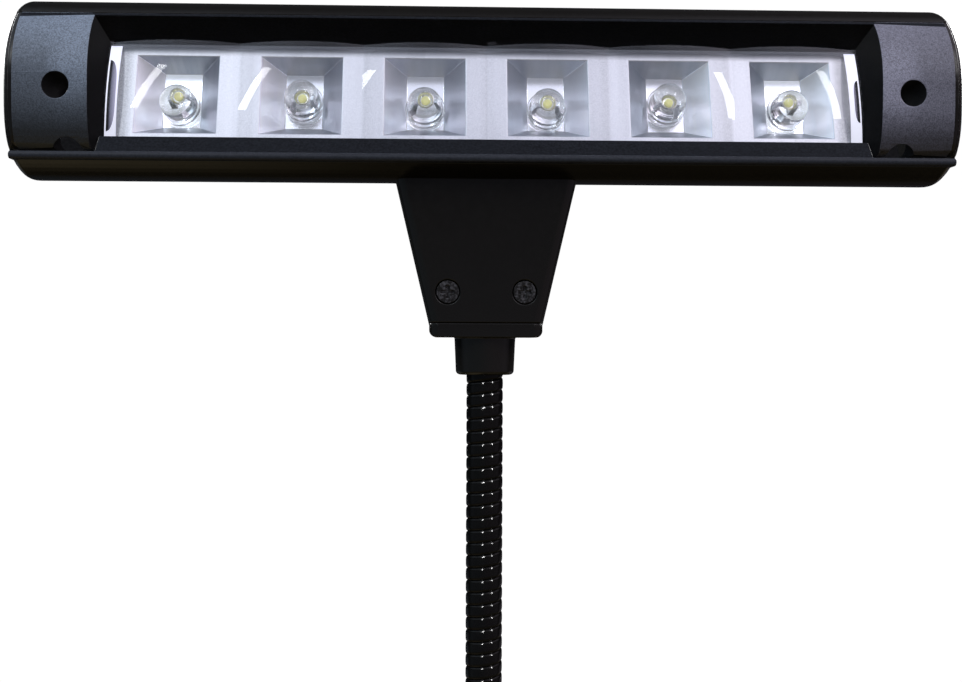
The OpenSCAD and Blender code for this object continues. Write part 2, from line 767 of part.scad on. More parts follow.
module gooseneck(i) color(arm_black) translate([0, arm_y, first_pivot + (i - 1) * link_l]) {
    difference() {
        union() {
            cylinder(r = core_r, h = link_l - tilt_room);
            translate([0, 0, link_l]) ball_end();
        }
        sphere(ball_r + ball_gap);
        translate([0, 0, -past]) cylinder(d = lead_bore_d, h = link_l + ball_r + 2 * past);
    }
    polyhedron(wind_points, tube_faces(wind_steps + 1, bead_sides));
}

module lower_collar() color(shell_black) translate([0, arm_y, base_top]) difference() {
    union() {
        rotate_extrude() {
            square([lower_collar_d / 2, lower_collar_h - collar_edge_r]);
            square([lower_collar_d / 2 - collar_edge_r, lower_collar_h]);
            translate([lower_collar_d / 2 - collar_edge_r, lower_collar_h - collar_edge_r])
                circle(collar_edge_r);
        }
        translate([0, 0, -base_wall - stem_l]) cylinder(r = stem_r, h = base_wall + stem_l + past);
        translate([0, 0, lower_collar_h + tilt_room]) ball_end();
    }
    translate([0, 0, -base_h]) cylinder(d = lead_bore_d, h = 2 * base_h);
}

module collar_nut() color(steel) translate([0, arm_y, chamber_top - nut_t - fit_gap]) difference() {
    cylinder(r = nut_r, h = nut_t, $fn = 6);
    translate([0, 0, -past]) cylinder(r = stem_r + fit_gap / 2, h = nut_t + 2 * past);
}

// Base

module base_form() intersection() {
    translate([0, arm_y, -base_drop]) linear_extrude(base_h) rounded_rect(base_w, base_depth, base_corner_r);
    along_y(0, 2 * base_depth) translate([0, base_mid_z]) rounded_rect(base_w, base_h, base_shoulder_r);
    translate([0, arm_y, base_mid_z]) along_x(base_w) rounded_rect(base_depth, base_h, base_corner_r);
}

module base_shell() color(shell_black) difference() {
    union() {
        base_form();
        both_sides() translate([ear_x, hinge_y, hinge_rise]) {
            x_rod(ear_r, ear_t);
            block([-ear_t / 2, 0, -ear_r], [ear_t / 2, base_front - hinge_y + past, ear_r]);
        }
    }
    translate([0, hinge_y, hinge_rise]) x_rod(pin_r + turn_gap / 4, base_w);
    // Battery bay with the slot that the door slides in, open at the bottom
    block([-bay_half_w, base_front + base_wall, bay_bottom], [bay_half_w, base_back_y + past, bay_top]);
    block([-door_half_w - fit_gap, door_front - fit_gap, -base_drop - past],
          [door_half_w + fit_gap, base_back_y + past, door_top + fit_gap]);
    block([-door_half_w - tongue_w - fit_gap, door_front - tongue_t - fit_gap, -base_drop - past],
          [door_half_w + tongue_w + fit_gap, door_front + fit_gap, door_top + fit_gap]);
    // Chamber for the switch and its board, closed by the back cover
    block([-chamber_half_w, chamber_front, chamber_bottom], [chamber_half_w, chamber_back, chamber_top]);
    block([-panel_half_w + panel_lap, chamber_front, panel_bottom + panel_ledge],
          [panel_half_w - panel_lap, base_back_y, panel_top - panel_lap]);
    block([-panel_half_w - fit_gap, base_back_y - panel_t - fit_gap, panel_bottom - fit_gap],
          [panel_half_w + fit_gap, base_back_y + past, panel_top + fit_gap]);
    at_panel_screws() y_rod(screw_d / 2, chamber_back - past, base_back_y);
    translate([0, arm_y, chamber_top - past]) cylinder(r = stem_r + fit_gap, h = base_wall + 2 * past);
    translate([button_offset, arm_y, chamber_top - past])
        cylinder(d = button_d + 2 * slide_gap, h = base_wall + 2 * past);
}

module at_panel_screws() {
    both_sides() translate([panel_screw_x, 0, panel_bottom + panel_ledge / 2]) children();
}

module base_back() color(shell_black) difference() {
    block([-panel_half_w, base_back_y - panel_t, panel_bottom], [panel_half_w, base_back_y, panel_top]);
    at_panel_screws() {
        y_rod(screw_d / 2 + fit_gap, chamber_back, base_back_y + past);
        y_rod(screw_head_d / 2 + fit_gap, base_back_y - panel_t / 2, base_back_y + past);
    }
}

module base_screws() color(steel) at_panel_screws()
    translate([0, base_back_y - panel_t / 2 + fit_gap / 2, 0]) rotate([0, 0, 180]) pan_screw(base_screw_l);

module battery_door() color(shell_black) {
    grip_drop = 6;
    grip_pitch = 2.4;
    grip_r = 0.5;
    difference() {
        union() {
            block([-door_half_w, door_front, -base_drop], [door_half_w, door_back, door_top]);
            block([-door_half_w - tongue_w + fit_gap, door_front - tongue_t + fit_gap, -base_drop],
                  [door_half_w + tongue_w - fit_gap, door_front, door_top - fit_gap]);
        }
        for (i = [0 : 4]) translate([0, door_back, door_top - grip_drop - i * grip_pitch])
            x_rod(grip_r, door_half_w);
    }
}

module contact_strips() color(steel) {
    strip_t = 0.4;
    dome_r = 2.4;
    for (z = [bay_bottom + fit_gap, bay_top - fit_gap - strip_t]) {
        block([-bay_half_w + slide_gap, cell_y - cell_d / 3, z],
              [bay_half_w - slide_gap, cell_y + cell_d / 3, z + strip_t]);
    }
    for (i = [1 : cells]) translate([cell_x(i), cell_y, 0]) {
        translate([0, 0, bay_bottom + fit_gap]) cylinder(r = dome_r, h = contact_room - 2 * fit_gap);
        translate([0, 0, bay_top - contact_room + fit_gap])
            cylinder(r = dome_r, h = contact_room - 2 * fit_gap);
    }
}

function cell_x(i) = (i - (cells + 1) / 2) * cell_pitch;

// A cell, with every second one the other way up
module battery(i) color(cell_grey) {
    button_r = 1.9;
    button_l = 1;
    translate([cell_x(i), cell_y, bay_bottom + contact_room + cell_l / 2]) mirror([0, 0, i % 2]) {
        translate([0, 0, -cell_l / 2]) cylinder(d = cell_d, h = cell_l - button_l);
        cylinder(r = button_r, h = cell_l / 2);
    }
}

module control_board() color(board_green) {
    half_w = chamber_half_w - fit_gap;
    difference() {
        block([-half_w, chamber_front + fit_gap, main_board_top - main_board_t],
              [half_w, chamber_back - fit_gap, main_board_top]);
        translate([0, arm_y, 0]) cylinder(r = stem_r, h = base_top);
    }
    translate([-button_offset, arm_y, main_board_top]) linear_extrude(2) square([6, 5], center = true);
}

module switch_unit() color(rubber_black) translate([button_offset, arm_y, main_board_top]) difference() {
    linear_extrude(switch_h) square(switch_w, center = true);
    translate([0, 0, switch_h / 3]) cylinder(r = plunger_r + slide_gap, h = switch_h);
}

module switch_button() color(rubber_black) translate([button_offset, arm_y, 0]) {
    flange_top = chamber_top - slide_gap;
    dome_r = button_d;
    intersection() {
        translate([0, 0, flange_top - past])
            cylinder(d = button_d, h = base_top + button_h - flange_top + past);
        translate([0, 0, base_top + button_h - dome_r]) sphere(dome_r);
    }
    translate([0, 0, flange_top - button_flange_t])
        cylinder(r = button_d / 2 + button_flange_w, h = button_flange_t);
    translate([0, 0, main_board_top + switch_h / 3 + button_travel + slide_gap])
        cylinder(r = plunger_r, h = flange_top - main_board_top - switch_h / 3 - button_travel - slide_gap);
}

// Clip

module pad_form(y0, y1) along_y(y0, y1) rounded_rect(pad_w, pad_h, 2.5);

module fixed_pad() color(rubber_black) pad_form(0, pad_t);

module moving_pad() color(rubber_black) difference() {
    pad_form(pad_back, -jaw_gap);
    groove = 1;
    for (i = [-2 : 2]) translate([0, -jaw_gap, i * pad_h / 6])
        block([-pad_w, -groove / 2, -groove / 2], [pad_w, groove, groove / 2]);
}

module clip_jaw() color(shell_black) {
    tip_flare = 3;
    jaw_corner_r = 6;
    jaw_line = [
        [jaw_mid_y - tip_flare, -pad_h / 2 - tip_flare - 1], [jaw_mid_y, -pad_h / 2 - 1],
        [jaw_mid_y, pad_h / 2 + 1], [shank_y, hinge_rise - ear_r - 2], lever_foot, lever_tip
    ];
    ridge_r = 0.7;
    ridge_pitch = 3;
    ridge_inset = 7;
    lever_run = lever_tip - lever_foot;
    lever_dir = lever_run / norm(lever_run);
    difference() {
        union() {
            intersection() {
                along_x(jaw_w) bent_strip(jaw_line, jaw_t);
                along_y(-base_w, base_w) translate([0, (lever_tip[1] + jaw_line[0][1]) / 2])
                    rounded_rect(jaw_w, lever_tip[1] - jaw_line[0][1], jaw_corner_r);
            }
            // Knuckles on the hinge pin
            both_sides() translate([knuckle_x, 0, 0]) along_x(knuckle_w) {
                translate([hinge_y, hinge_rise]) circle(ear_r);
                translate([shank_y, hinge_rise - ear_r]) square([hinge_y - shank_y, 2 * ear_r]);
            }
            // Finger ridges near the lever's tip
            for (i = [1 : 5]) {
                foot = lever_tip - lever_dir * ((i + 1) * ridge_pitch)
                    + [-lever_dir[1], lever_dir[0]] * (jaw_t / 2);
                translate([0, foot[0], foot[1]]) x_rod(ridge_r, jaw_w - 2 * ridge_inset);
            }
        }
        translate([0, hinge_y, hinge_rise]) x_rod(pin_r + turn_gap, base_w);
    }
}

module hinge_pin() color(steel) translate([0, hinge_y, hinge_rise]) x_rod(pin_r, 2 * pin_half_l);

// Torsion spring round the pin: a leg along the lever, the coil, and a leg up the base's front
spring_start = 180 + lever_angle;
spring_steps = 36;
spring_lean = asin((base_front - hinge_y - spring_r - 2 * spring_wire_r) / spring_leg);
spring_sweep = 5 * 360 - spring_lean - spring_start;
function spring_ring(turn, x, along) = [
    for (s = [0 : bead_sides - 1])
        let (r = spring_r + spring_wire_r * cos(360 * s / bead_sides))
        [x - spring_wire_r * sin(360 * s / bead_sides),
         hinge_y + r * cos(turn) - along * sin(turn),
         hinge_rise + r * sin(turn) + along * cos(turn)]
];
spring_coil = [
    for (k = [0 : spring_steps], p = spring_ring(
        spring_start + spring_sweep * k / spring_steps,
        spring_half_l * (2 * k / spring_steps - 1), 0)) p
];
spring_points = concat(
    spring_ring(spring_start, -spring_half_l, -spring_leg),
    spring_coil,
    spring_ring(spring_start + spring_sweep, spring_half_l, spring_leg)
);
echo(spring_self_gap = self_gap(spring_coil, bead_sides, rings_per_turn - 2));

module torsion_spring() color(steel) polyhedron(spring_points, tube_faces(spring_steps + 3, bead_sides));

// Drawing

base_shell();
base_back();
base_screws();
battery_door();
contact_strips();
control_board();
switch_unit();
switch_button();
fixed_pad();
clip_jaw();
moving_pad();
hinge_pin();
torsion_spring();
lower_collar();
collar_nut();
neck_end_cap();
neck_cover();
neck_screws();
rear_shell();
front_bezel();
bezel_screws();
glare_shield();
lens_cover();
reflector();
led_board();
for (i = [1 : leds]) led(i);
for (i = [1 : cells]) battery(i);
for (i = [1 : links]) gooseneck(i);
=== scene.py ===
"""Dresses the music stand light: finished pieces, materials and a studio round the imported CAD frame."""

import json
import math

import bmesh
import bpy
from bpy.props import FloatProperty, FloatVectorProperty, PointerProperty
from mathutils import Matrix, Vector

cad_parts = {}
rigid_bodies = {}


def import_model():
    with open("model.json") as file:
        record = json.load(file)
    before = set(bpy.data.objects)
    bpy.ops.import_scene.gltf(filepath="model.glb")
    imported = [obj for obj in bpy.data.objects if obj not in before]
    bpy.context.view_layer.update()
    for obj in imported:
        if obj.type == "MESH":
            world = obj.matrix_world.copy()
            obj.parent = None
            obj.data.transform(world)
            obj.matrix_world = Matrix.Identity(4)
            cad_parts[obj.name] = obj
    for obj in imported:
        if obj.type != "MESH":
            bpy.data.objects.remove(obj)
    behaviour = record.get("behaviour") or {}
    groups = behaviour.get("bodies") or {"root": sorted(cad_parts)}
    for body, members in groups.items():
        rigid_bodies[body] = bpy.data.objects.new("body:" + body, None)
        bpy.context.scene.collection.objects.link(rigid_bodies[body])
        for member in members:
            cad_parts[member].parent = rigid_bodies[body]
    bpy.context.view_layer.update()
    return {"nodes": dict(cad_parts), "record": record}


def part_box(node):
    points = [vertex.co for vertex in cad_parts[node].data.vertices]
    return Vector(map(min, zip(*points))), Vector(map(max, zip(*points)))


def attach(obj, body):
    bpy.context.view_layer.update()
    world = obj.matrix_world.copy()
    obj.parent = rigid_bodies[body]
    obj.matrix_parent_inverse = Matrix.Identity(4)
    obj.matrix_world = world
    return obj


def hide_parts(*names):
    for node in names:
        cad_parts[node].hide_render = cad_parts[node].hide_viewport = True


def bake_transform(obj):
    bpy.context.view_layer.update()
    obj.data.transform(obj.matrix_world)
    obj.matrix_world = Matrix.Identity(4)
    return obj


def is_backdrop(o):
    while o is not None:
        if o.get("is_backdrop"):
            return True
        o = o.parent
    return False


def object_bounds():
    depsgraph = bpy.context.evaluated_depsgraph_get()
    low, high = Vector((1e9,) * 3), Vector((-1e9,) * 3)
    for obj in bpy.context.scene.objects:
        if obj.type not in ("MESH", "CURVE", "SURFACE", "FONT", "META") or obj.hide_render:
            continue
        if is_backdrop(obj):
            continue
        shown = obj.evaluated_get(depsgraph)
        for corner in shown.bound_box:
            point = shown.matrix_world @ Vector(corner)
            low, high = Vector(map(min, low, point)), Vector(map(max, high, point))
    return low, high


bl_info = {
    "name": "Music stand light",
    "version": (1, 0, 0),
    "blender": (4, 5, 0),
    "location": "View3D > Sidebar > Lamp",
    "description": "Builds the finished pieces of a clip-on music stand light over its CAD frame",
    "category": "Object",
}

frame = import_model()

MM = 0.001
LINKS = 15
LEDS = 6


def node_mid(node):
    """Middle of a CAD node's box."""
    low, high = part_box(node)
    return (Vector(low) + Vector(high)) / 2


ARM_Y = node_mid("gooseneck_1").y
# The winding leaves the lower collar 8 mm above the base
COLLAR_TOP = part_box("base_shell")[1][2] + 8 * MM
CAP_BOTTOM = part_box("neck_end_cap")[0][2]
HEAD_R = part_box("rear_shell")[1][1] - ARM_Y
HEAD_MID = Vector((0, ARM_Y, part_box("rear_shell")[1][2] - HEAD_R))
# Middle of the window's face
FACE_MID = HEAD_MID + Vector((0, -4.6, -1.1)) * MM


class LampSizes(bpy.types.PropertyGroup):
    """Sizes that change the finished look."""

    edge: FloatProperty(
        name="Edge rounding", description="Rounding of moulded edges", default=0.3 * MM, unit="LENGTH")
    wind_pitch: FloatProperty(
        name="Winding pitch", description="Distance between turns of the arm's winding", default=2.56 * MM,
        unit="LENGTH")
    wind_depth: FloatProperty(
        name="Groove depth", description="Depth of the groove between turns", default=0.36 * MM,
        unit="LENGTH")
    arm_radius: FloatProperty(
        name="Arm radius", description="Outside radius of the winding", default=3.8 * MM, unit="LENGTH")
    window_tilt: FloatProperty(
        name="Window tilt", description="Backward tilt of the reflector and lens", default=math.radians(14.4),
        subtype="ANGLE")
    led_pitch: FloatProperty(
        name="LED pitch", description="Distance between neighbouring LEDs", default=25.2 * MM, unit="LENGTH")
    lens_rise: FloatProperty(
        name="Lens rise", description="Rise of the lens over each cell", default=1.0 * MM, unit="LENGTH")
    led_radius: FloatProperty(
        name="LED radius", description="Radius of an LED's clear body", default=3.6 * MM, unit="LENGTH")
    chip: FloatProperty(
        name="Chip size", description="Width of the chip inside an LED", default=1.25 * MM, unit="LENGTH")


class LampColours(bpy.types.PropertyGroup):
    """Colours of the main finishes."""

    shell: FloatVectorProperty(
        name="Shell", description="Smooth black plastic", default=(0.0042, 0.0036, 0.0026), subtype="COLOR")
    bezel: FloatVectorProperty(
        name="Bezel", description="Textured charcoal plastic", default=(0.275, 0.309, 0.38), subtype="COLOR")
    silver: FloatVectorProperty(
        name="Reflector", description="Silver plating", default=(0.74, 0.745, 0.775), subtype="COLOR")
    arm: FloatVectorProperty(
        name="Arm", description="Black lacquer of the arm", default=(0.003, 0.0028, 0.0025), subtype="COLOR")
    chip: FloatVectorProperty(
        name="Chip", description="Phosphor of an LED's chip", default=(0.78, 0.76, 0.32), subtype="COLOR")


class Value:
    """A shader socket that takes part in arithmetic."""

    def __init__(self, graph, socket):
        self.graph = graph
        self.socket = socket

    def __add__(self, other):
        return self.graph.math("ADD", self, other)

    def __radd__(self, other):
        return self.graph.math("ADD", other, self)

    def __sub__(self, other):
        return self.graph.math("SUBTRACT", self, other)

    def __rsub__(self, other):
        return self.graph.math("SUBTRACT", other, self)

    def __mul__(self, other):
        return self.graph.math("MULTIPLY", self, other)

    def __rmul__(self, other):
        return self.graph.math("MULTIPLY", other, self)

    def __truediv__(self, other):
        return self.graph.math("DIVIDE", self, other)

    def __rtruediv__(self, other):
        return self.graph.math("DIVIDE", other, self)

    def __pow__(self, other):
        return self.graph.math("POWER", self, other)

    def __rpow__(self, other):
        return self.graph.math("POWER", other, self)

    def ramp(self, low, high, to_low=0.0, to_high=1.0):
        """Maps low..high to to_low..to_high, held at the ends."""
        return self.graph.add("ShaderNodeMapRange", {0: self, 1: low, 2: high, 3: to_low, 4: to_high})


class Graph:
    """A node tree under construction."""

    def __init__(self, tree):
        self.tree = tree
        tree.nodes.clear()

    def add(self, kind, inputs=None, out=0, **settings):
        """Adds any node, sets it up and returns one of its outputs."""
        node = self.tree.nodes.new(kind)
        for key, setting in settings.items():
            setattr(node, key, setting)
        for key, given in (inputs or {}).items():
            if isinstance(given, Value):
                self.tree.links.new(given.socket, node.inputs[key])
            else:
                node.inputs[key].default_value = given
        return Value(self, node.outputs[out] if len(node.outputs) else None)

    def math(self, operation, a, b=0.0):
        return self.add("ShaderNodeMath", {0: a, 1: b}, operation=operation)

    def place(self):
        return self.add("ShaderNodeTexCoord", out="Object")

    def axis(self, number):
        """One axis of the object coordinates: 0 along the row, 1 to the back, 2 up."""
        return self.add("ShaderNodeSeparateXYZ", {0: self.place()}, out=number)

    def stretched(self, scale):
        """Object coordinates stretched by a factor for each axis."""
        return self.add("ShaderNodeMapping", {"Vector": self.place(), "Scale": scale})

    def noise(self, scale, detail=2.0, rough=0.5, where=None):
        return self.add("ShaderNodeTexNoise", {
            "Vector": where or self.place(), "Scale": scale, "Detail": detail, "Roughness": rough})

    def mix(self, factor, a, b):
        def colour(given):
            return given if isinstance(given, Value) else (*given[:3], 1.0)
        return self.add("ShaderNodeMix", {0: factor, 6: colour(a), 7: colour(b)}, out=2, data_type="RGBA")

    def bump(self, height, distance, strength):
        return self.add("ShaderNodeBump", {"Height": height, "Distance": distance, "Strength": strength})

    def principled(self, **inputs):
        named = {}
        for key, given in inputs.items():
            socket = key.replace("_", " ").title().replace("Ior", "IOR")
            if socket.endswith("Color") and not isinstance(given, Value):
                given = (*given[:3], 1.0)
            named[socket] = given
        return self.add("ShaderNodeBsdfPrincipled", named)

    def output(self, shader):
        self.add("ShaderNodeOutputMaterial", {"Surface": shader})


MATERIALS = {}


def material(name):
    """Makes a material the first time that it is asked for."""
    if name not in MATERIALS:
        made = bpy.data.materials.new(name)
        made.use_nodes = True
        graph = Graph(made.node_tree)
        graph.output(LOOKS[name](graph, bpy.context.scene.lamp_colours))
        MATERIALS[name] = made
    return MATERIALS[name]


def look_shell(g, colours):
    """Smooth black moulding with a soft gloss."""
    cloud = g.noise(90, 2)
    peel = g.noise(900, 2)
    tint = g.mix(cloud.ramp(0.35, 0.7), tuple(colours.shell), tuple(c * 1.2 for c in colours.shell))
    return g.principled(
        base_color=tint, roughness=peel.ramp(0.3, 0.7, 0.2, 0.26), specular_ior_level=0.2,
        normal=g.bump(peel, 0.00002, 0.2))


def look_bezel(g, colours):
    """Spark-textured charcoal moulding, with painted shade that makes it darker towards the lip and towards
    the outer ends, a painted sheen near the ends and painted light tints, cool on the left and warm on the
    right.
    """
    grain = g.noise(3800, 3, 0.65)
    coarse = g.noise(1500, 2)
    along = g.axis(0)
    out = g.math("ABSOLUTE", along)
    rise = g.axis(2) - HEAD_MID.z
    right = along.ramp(-50 * MM, 50 * MM)
    red, green, blue = colours.bezel
    # Painted light tints: cool on the left and warm on the right, the colours of the lamps on each side.
    cool, warm = (red * 0.92, green, blue), (red * 1.12, green, blue)
    # Painted shade: darker towards the bottom, less steeply on the right, as the cheeks are lit from above.
    painted_shade_left = rise.ramp(-11 * MM, 9 * MM, 0.1, 1.0)
    painted_shade_right = rise.ramp(-11 * MM, -5 * MM, 0.28, 0.73)
    lift = painted_shade_left + (painted_shade_right - painted_shade_left) * right
    # A painted sheen near the ends at mid height, and painted shade towards the outer ends.
    painted_sheen = out.ramp(85.5 * MM, 82 * MM) * g.math("EXPONENT", rise * rise * (-1.0 / (5.5 * MM) ** 2))
    near = out.ramp(80 * MM, 94 * MM, 1.0, 0.82) + painted_sheen * 0.8
    fleck = (grain * 0.8 + coarse * 0.2).ramp(0.36, 0.66, 0.34, 1.0)
    return g.principled(
        base_color=g.mix(fleck * lift * near, (0.0, 0.0, 0.0), g.mix(right, cool, warm)),
        roughness=grain.ramp(0.3, 0.7, 0.42, 0.6), specular_ior_level=0.3,
        normal=g.bump(grain * 0.8 + coarse * 0.4, 0.00012, 0.5))


def look_shield(g, colours):
    """Satin black strip with a faint grain."""
    grain = g.noise(2200, 2, 0.6)
    dark, light = (tuple(c * k for c in colours.bezel) for k in (0.0235, 0.052))
    tint = g.mix(grain.ramp(0.35, 0.65), dark, light)
    return g.principled(
        base_color=tint, roughness=grain.ramp(0.3, 0.7, 0.4, 0.52), specular_ior_level=0.03,
        normal=g.bump(grain, 0.00008, 0.35))


def look_recess(g, colours):
    """Matte black moulding inside the recess."""
    grain = g.noise(1800, 2, 0.6)
    return g.principled(
        base_color=g.mix(grain.ramp(0.35, 0.65), (0.005, 0.005, 0.0052), (0.0098, 0.0098, 0.0102)),
        roughness=grain.ramp(0.3, 0.7, 0.75, 0.9), specular_ior_level=0.02)


def look_lip_painted_highlight(g, colours):
    """Satin charcoal on the shield's front edge, lighter than the rest of the shield as a painted highlight,
    lightest at the bottom.
    """
    grain = g.noise(2200, 2, 0.6)
    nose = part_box("glare_shield")[0][2]
    tone = grain.ramp(0.35, 0.65, 0.7, 1.0) * g.axis(2).ramp(nose, nose + 1.6 * MM, 0.14, 0.08)
    return g.principled(
        base_color=g.mix(tone, (0.0, 0.0, 0.0), tuple(colours.bezel)),
        roughness=grain.ramp(0.3, 0.7, 0.36, 0.48), specular_ior_level=0.12,
        normal=g.bump(grain, 0.00008, 0.35))


def look_end_plate_painted_glow(g, colours):
    """Milky end of the clear cover, with a painted glow."""
    cloud = g.noise(700, 2)
    return g.principled(
        base_color=g.mix(cloud, (0.86, 0.86, 0.93), (0.96, 0.96, 1.0)),
        roughness=cloud.ramp(0.3, 0.7, 0.25, 0.4), emission_color=(0.9, 0.9, 1.0), emission_strength=0.25)


def look_end_slot(g, colours):
    """Shade inside a slot of the cover's end, darkest against the outer edge."""
    out = g.math("ABSOLUTE", g.axis(0))
    cloud = g.noise(900, 2)
    shade = g.mix(out.ramp(74.8 * MM, 76.1 * MM, 1.0, 0.0), (0.05, 0.047, 0.07), (0.5, 0.48, 0.6))
    lined = g.mix(out.ramp(75.75 * MM, 76 * MM), shade, (0.003, 0.003, 0.004))
    return g.principled(base_color=lined, roughness=cloud.ramp(0.3, 0.7, 0.5, 0.7), specular_ior_level=0.1)


def look_silver(g, colours):
    """Satin plating with a fine grain, painted light in soft upright bands where the lens would bend the
    light, and painted shade under the brow, near the row's ends and in its middle.
    """
    grain = g.noise(3600, 3, 0.7)
    along = g.axis(0)
    out = g.math("ABSOLUTE", along)
    pitch = bpy.context.scene.lamp_sizes.led_pitch
    # From -0.5 to 0.5 over a pitch that is centred between two funnels, rising away from the row's middle
    cell = g.math("FRACT", along / pitch + 10.5)
    outward = (cell - 0.5) * along.ramp(-0.1 * MM, 0.1 * MM, -1.0, 1.0)
    smear = g.noise(1.0, 2, 0.5, g.stretched((420.0, 60.0, 14.0)))
    # Painted light: soft upright bands where the lens would bend the light.
    band = outward.ramp(-0.012, 0.012, 0.0, 0.26) + outward.ramp(-0.145, -0.02, 0.64, 0.5)
    band = band + smear.ramp(0.3, 0.7, -0.06, 0.06)
    silver = tuple(colours.silver)
    # Painted shade: dark near the row's ends, under the brow at the top and a little dimmer in the row's
    # middle.
    ends = out.ramp(71.6 * MM, 73.2 * MM, 1.0, 0.2)
    clear_of_painted_brow_shade = g.axis(2).ramp(HEAD_MID.z + 7.2 * MM, HEAD_MID.z + 9.0 * MM, 1.0, 0.0)
    middle = out.ramp(0.0, 8 * MM, 0.8, 1.0)
    shade = g.mix(band * ends * middle, tuple(c * 0.3 for c in silver), silver)
    tint = g.mix(clear_of_painted_brow_shade, tuple(c * 0.05 for c in silver), shade)
    speck = g.mix(grain.ramp(0.34, 0.66, 0.0, 0.3) * clear_of_painted_brow_shade, tint, (1.0, 1.0, 1.0))
    return g.principled(
        base_color=speck, metallic=0.62, roughness=grain.ramp(0.3, 0.7, 0.34, 0.46),
        normal=g.bump(grain, 0.00004, 0.35))


def wall_look(dark, light, glow):
    """Plating of funnel sides between two tones, drawn towards a pale grey near the row's middle as painted
    light, with a painted glow off the row's middle where one is given, tinted lavender on the left and cyan
    on the right.
    """
    def look(g, colours):
        grain = g.noise(2600, 2, 0.6)
        streaks = g.noise(1.0, 2, 0.5, g.stretched((700.0, 60.0, 60.0)))
        along = g.axis(0)
        # Painted light tint for the glow: lavender on the left and cyan on the right.
        side = g.mix(along.ramp(-30 * MM, 30 * MM), (1.0, 0.95, 1.0), (0.9, 0.99, 1.0))
        out = g.math("ABSOLUTE", along)
        painted_glow = out.ramp(20 * MM, 50 * MM, 0.2, 1.0)
        plate = g.mix(streaks.ramp(0.3, 0.7), dark, light)
        # Painted light: drawn towards a pale grey near the row's middle.
        plate = g.mix(out.ramp(20 * MM, 60 * MM, 0.4, 0.0), plate, (0.8, 0.82, 0.86))
        return g.principled(
            base_color=plate, metallic=1.0, roughness=grain.ramp(0.3, 0.7, 0.34, 0.44),
            emission_color=g.mix(painted_glow, (0.0, 0.0, 0.0), side), emission_strength=glow)
    return look


def look_floor_painted_glow(g, colours):
    """Polished floor of a funnel, with a painted glow that is brightest at the row's ends."""
    grain = g.noise(3600, 2, 0.6)
    end = g.math("ABSOLUTE", g.axis(0)).ramp(45 * MM, 55 * MM)
    plate = g.mix(end, (0.8, 0.81, 0.84), (0.96, 0.97, 1.0))
    return g.principled(
        base_color=plate, metallic=1.0, roughness=grain.ramp(0.3, 0.7, 0.18, 0.26),
        emission_color=g.mix(end, (0.3, 0.31, 0.33), (0.9, 0.96, 1.0)), emission_strength=0.42)


def look_lens(g, colours):
    """Water-clear moulding that lets light straight through and mirrors at its edges."""
    ripple = g.noise(120, 1)
    skin = g.bump(ripple, 0.00003, 0.15)
    gloss = g.principled(base_color=(0.97, 0.98, 1.0), roughness=0.02, metallic=1.0, normal=skin)
    clear = g.add("ShaderNodeBsdfTransparent", {"Color": (0.97, 0.975, 0.985, 1.0)})
    edge = g.add("ShaderNodeFresnel", {"IOR": 1.45, "Normal": skin})
    ahead = 1.0 - g.add("ShaderNodeNewGeometry", out="Backfacing")
    return g.add("ShaderNodeMixShader", {0: edge ** 1.15 * ahead, 1: clear, 2: gloss})


def look_lens_edge(g, colours):
    """Cut edge of the clear moulding."""
    grain = g.noise(2000, 2)
    frost = g.principled(
        base_color=g.mix(grain, (0.3, 0.31, 0.33), (0.4, 0.41, 0.44)),
        roughness=grain.ramp(0.3, 0.7, 0.35, 0.5))
    clear = g.add("ShaderNodeBsdfTransparent", {"Color": (0.9, 0.92, 0.95, 1.0)})
    return g.add("ShaderNodeMixShader", {0: 0.35, 1: clear, 2: frost})


def look_epoxy(g, colours):
    """Clear casting of an LED."""
    swirl = g.noise(500, 2)
    glass = g.principled(
        base_color=(0.99, 0.995, 0.99), roughness=0.015, transmission_weight=1.0, ior=1.5,
        normal=g.bump(swirl, 0.00004, 0.2))
    clear = g.add("ShaderNodeBsdfTransparent", {"Color": (0.99, 0.995, 0.99, 1.0)})
    return g.add("ShaderNodeMixShader", {0: 0.92, 1: clear, 2: glass})


def look_chip_painted_glow(g, colours):
    """Phosphor square, with a painted glow."""
    grain = g.noise(6000, 2)
    tint = g.mix(grain.ramp(0.3, 0.7), tuple(colours.chip), tuple(c * 1.15 for c in colours.chip))
    return g.principled(base_color=tint, roughness=0.6, emission_color=tint, emission_strength=0.25)


def look_leads(g, colours):
    """Plated lead frame."""
    grain = g.noise(3000, 2)
    return g.principled(
        base_color=g.mix(grain, (0.55, 0.55, 0.56), (0.78, 0.78, 0.8)), metallic=1.0,
        roughness=grain.ramp(0.3, 0.7, 0.22, 0.4))


def look_arm(g, colours):
    """Black lacquer on a wound steel arm."""
    cloud = g.noise(600, 2)
    return g.principled(
        base_color=g.mix(cloud, tuple(colours.arm), tuple(c * 1.8 for c in colours.arm)),
        roughness=cloud.ramp(0.3, 0.7, 0.08, 0.12), specular_ior_level=0.09,
        normal=g.bump(g.noise(1800, 2), 0.00002, 0.2))


def look_case(g, colours):
    """Satin black moulding of the base and the clip, with a fine spark texture."""
    grain = g.noise(2600, 3, 0.6)
    cloud = g.noise(120, 2)
    dark, light = (tuple(c * k for c in colours.bezel) for k in (0.028, 0.05))
    return g.principled(
        base_color=g.mix(grain.ramp(0.35, 0.65) * cloud.ramp(0.3, 0.7, 0.8, 1.0), dark, light),
        roughness=grain.ramp(0.3, 0.7, 0.4, 0.54), specular_ior_level=0.35,
        normal=g.bump(grain, 0.00008, 0.35))


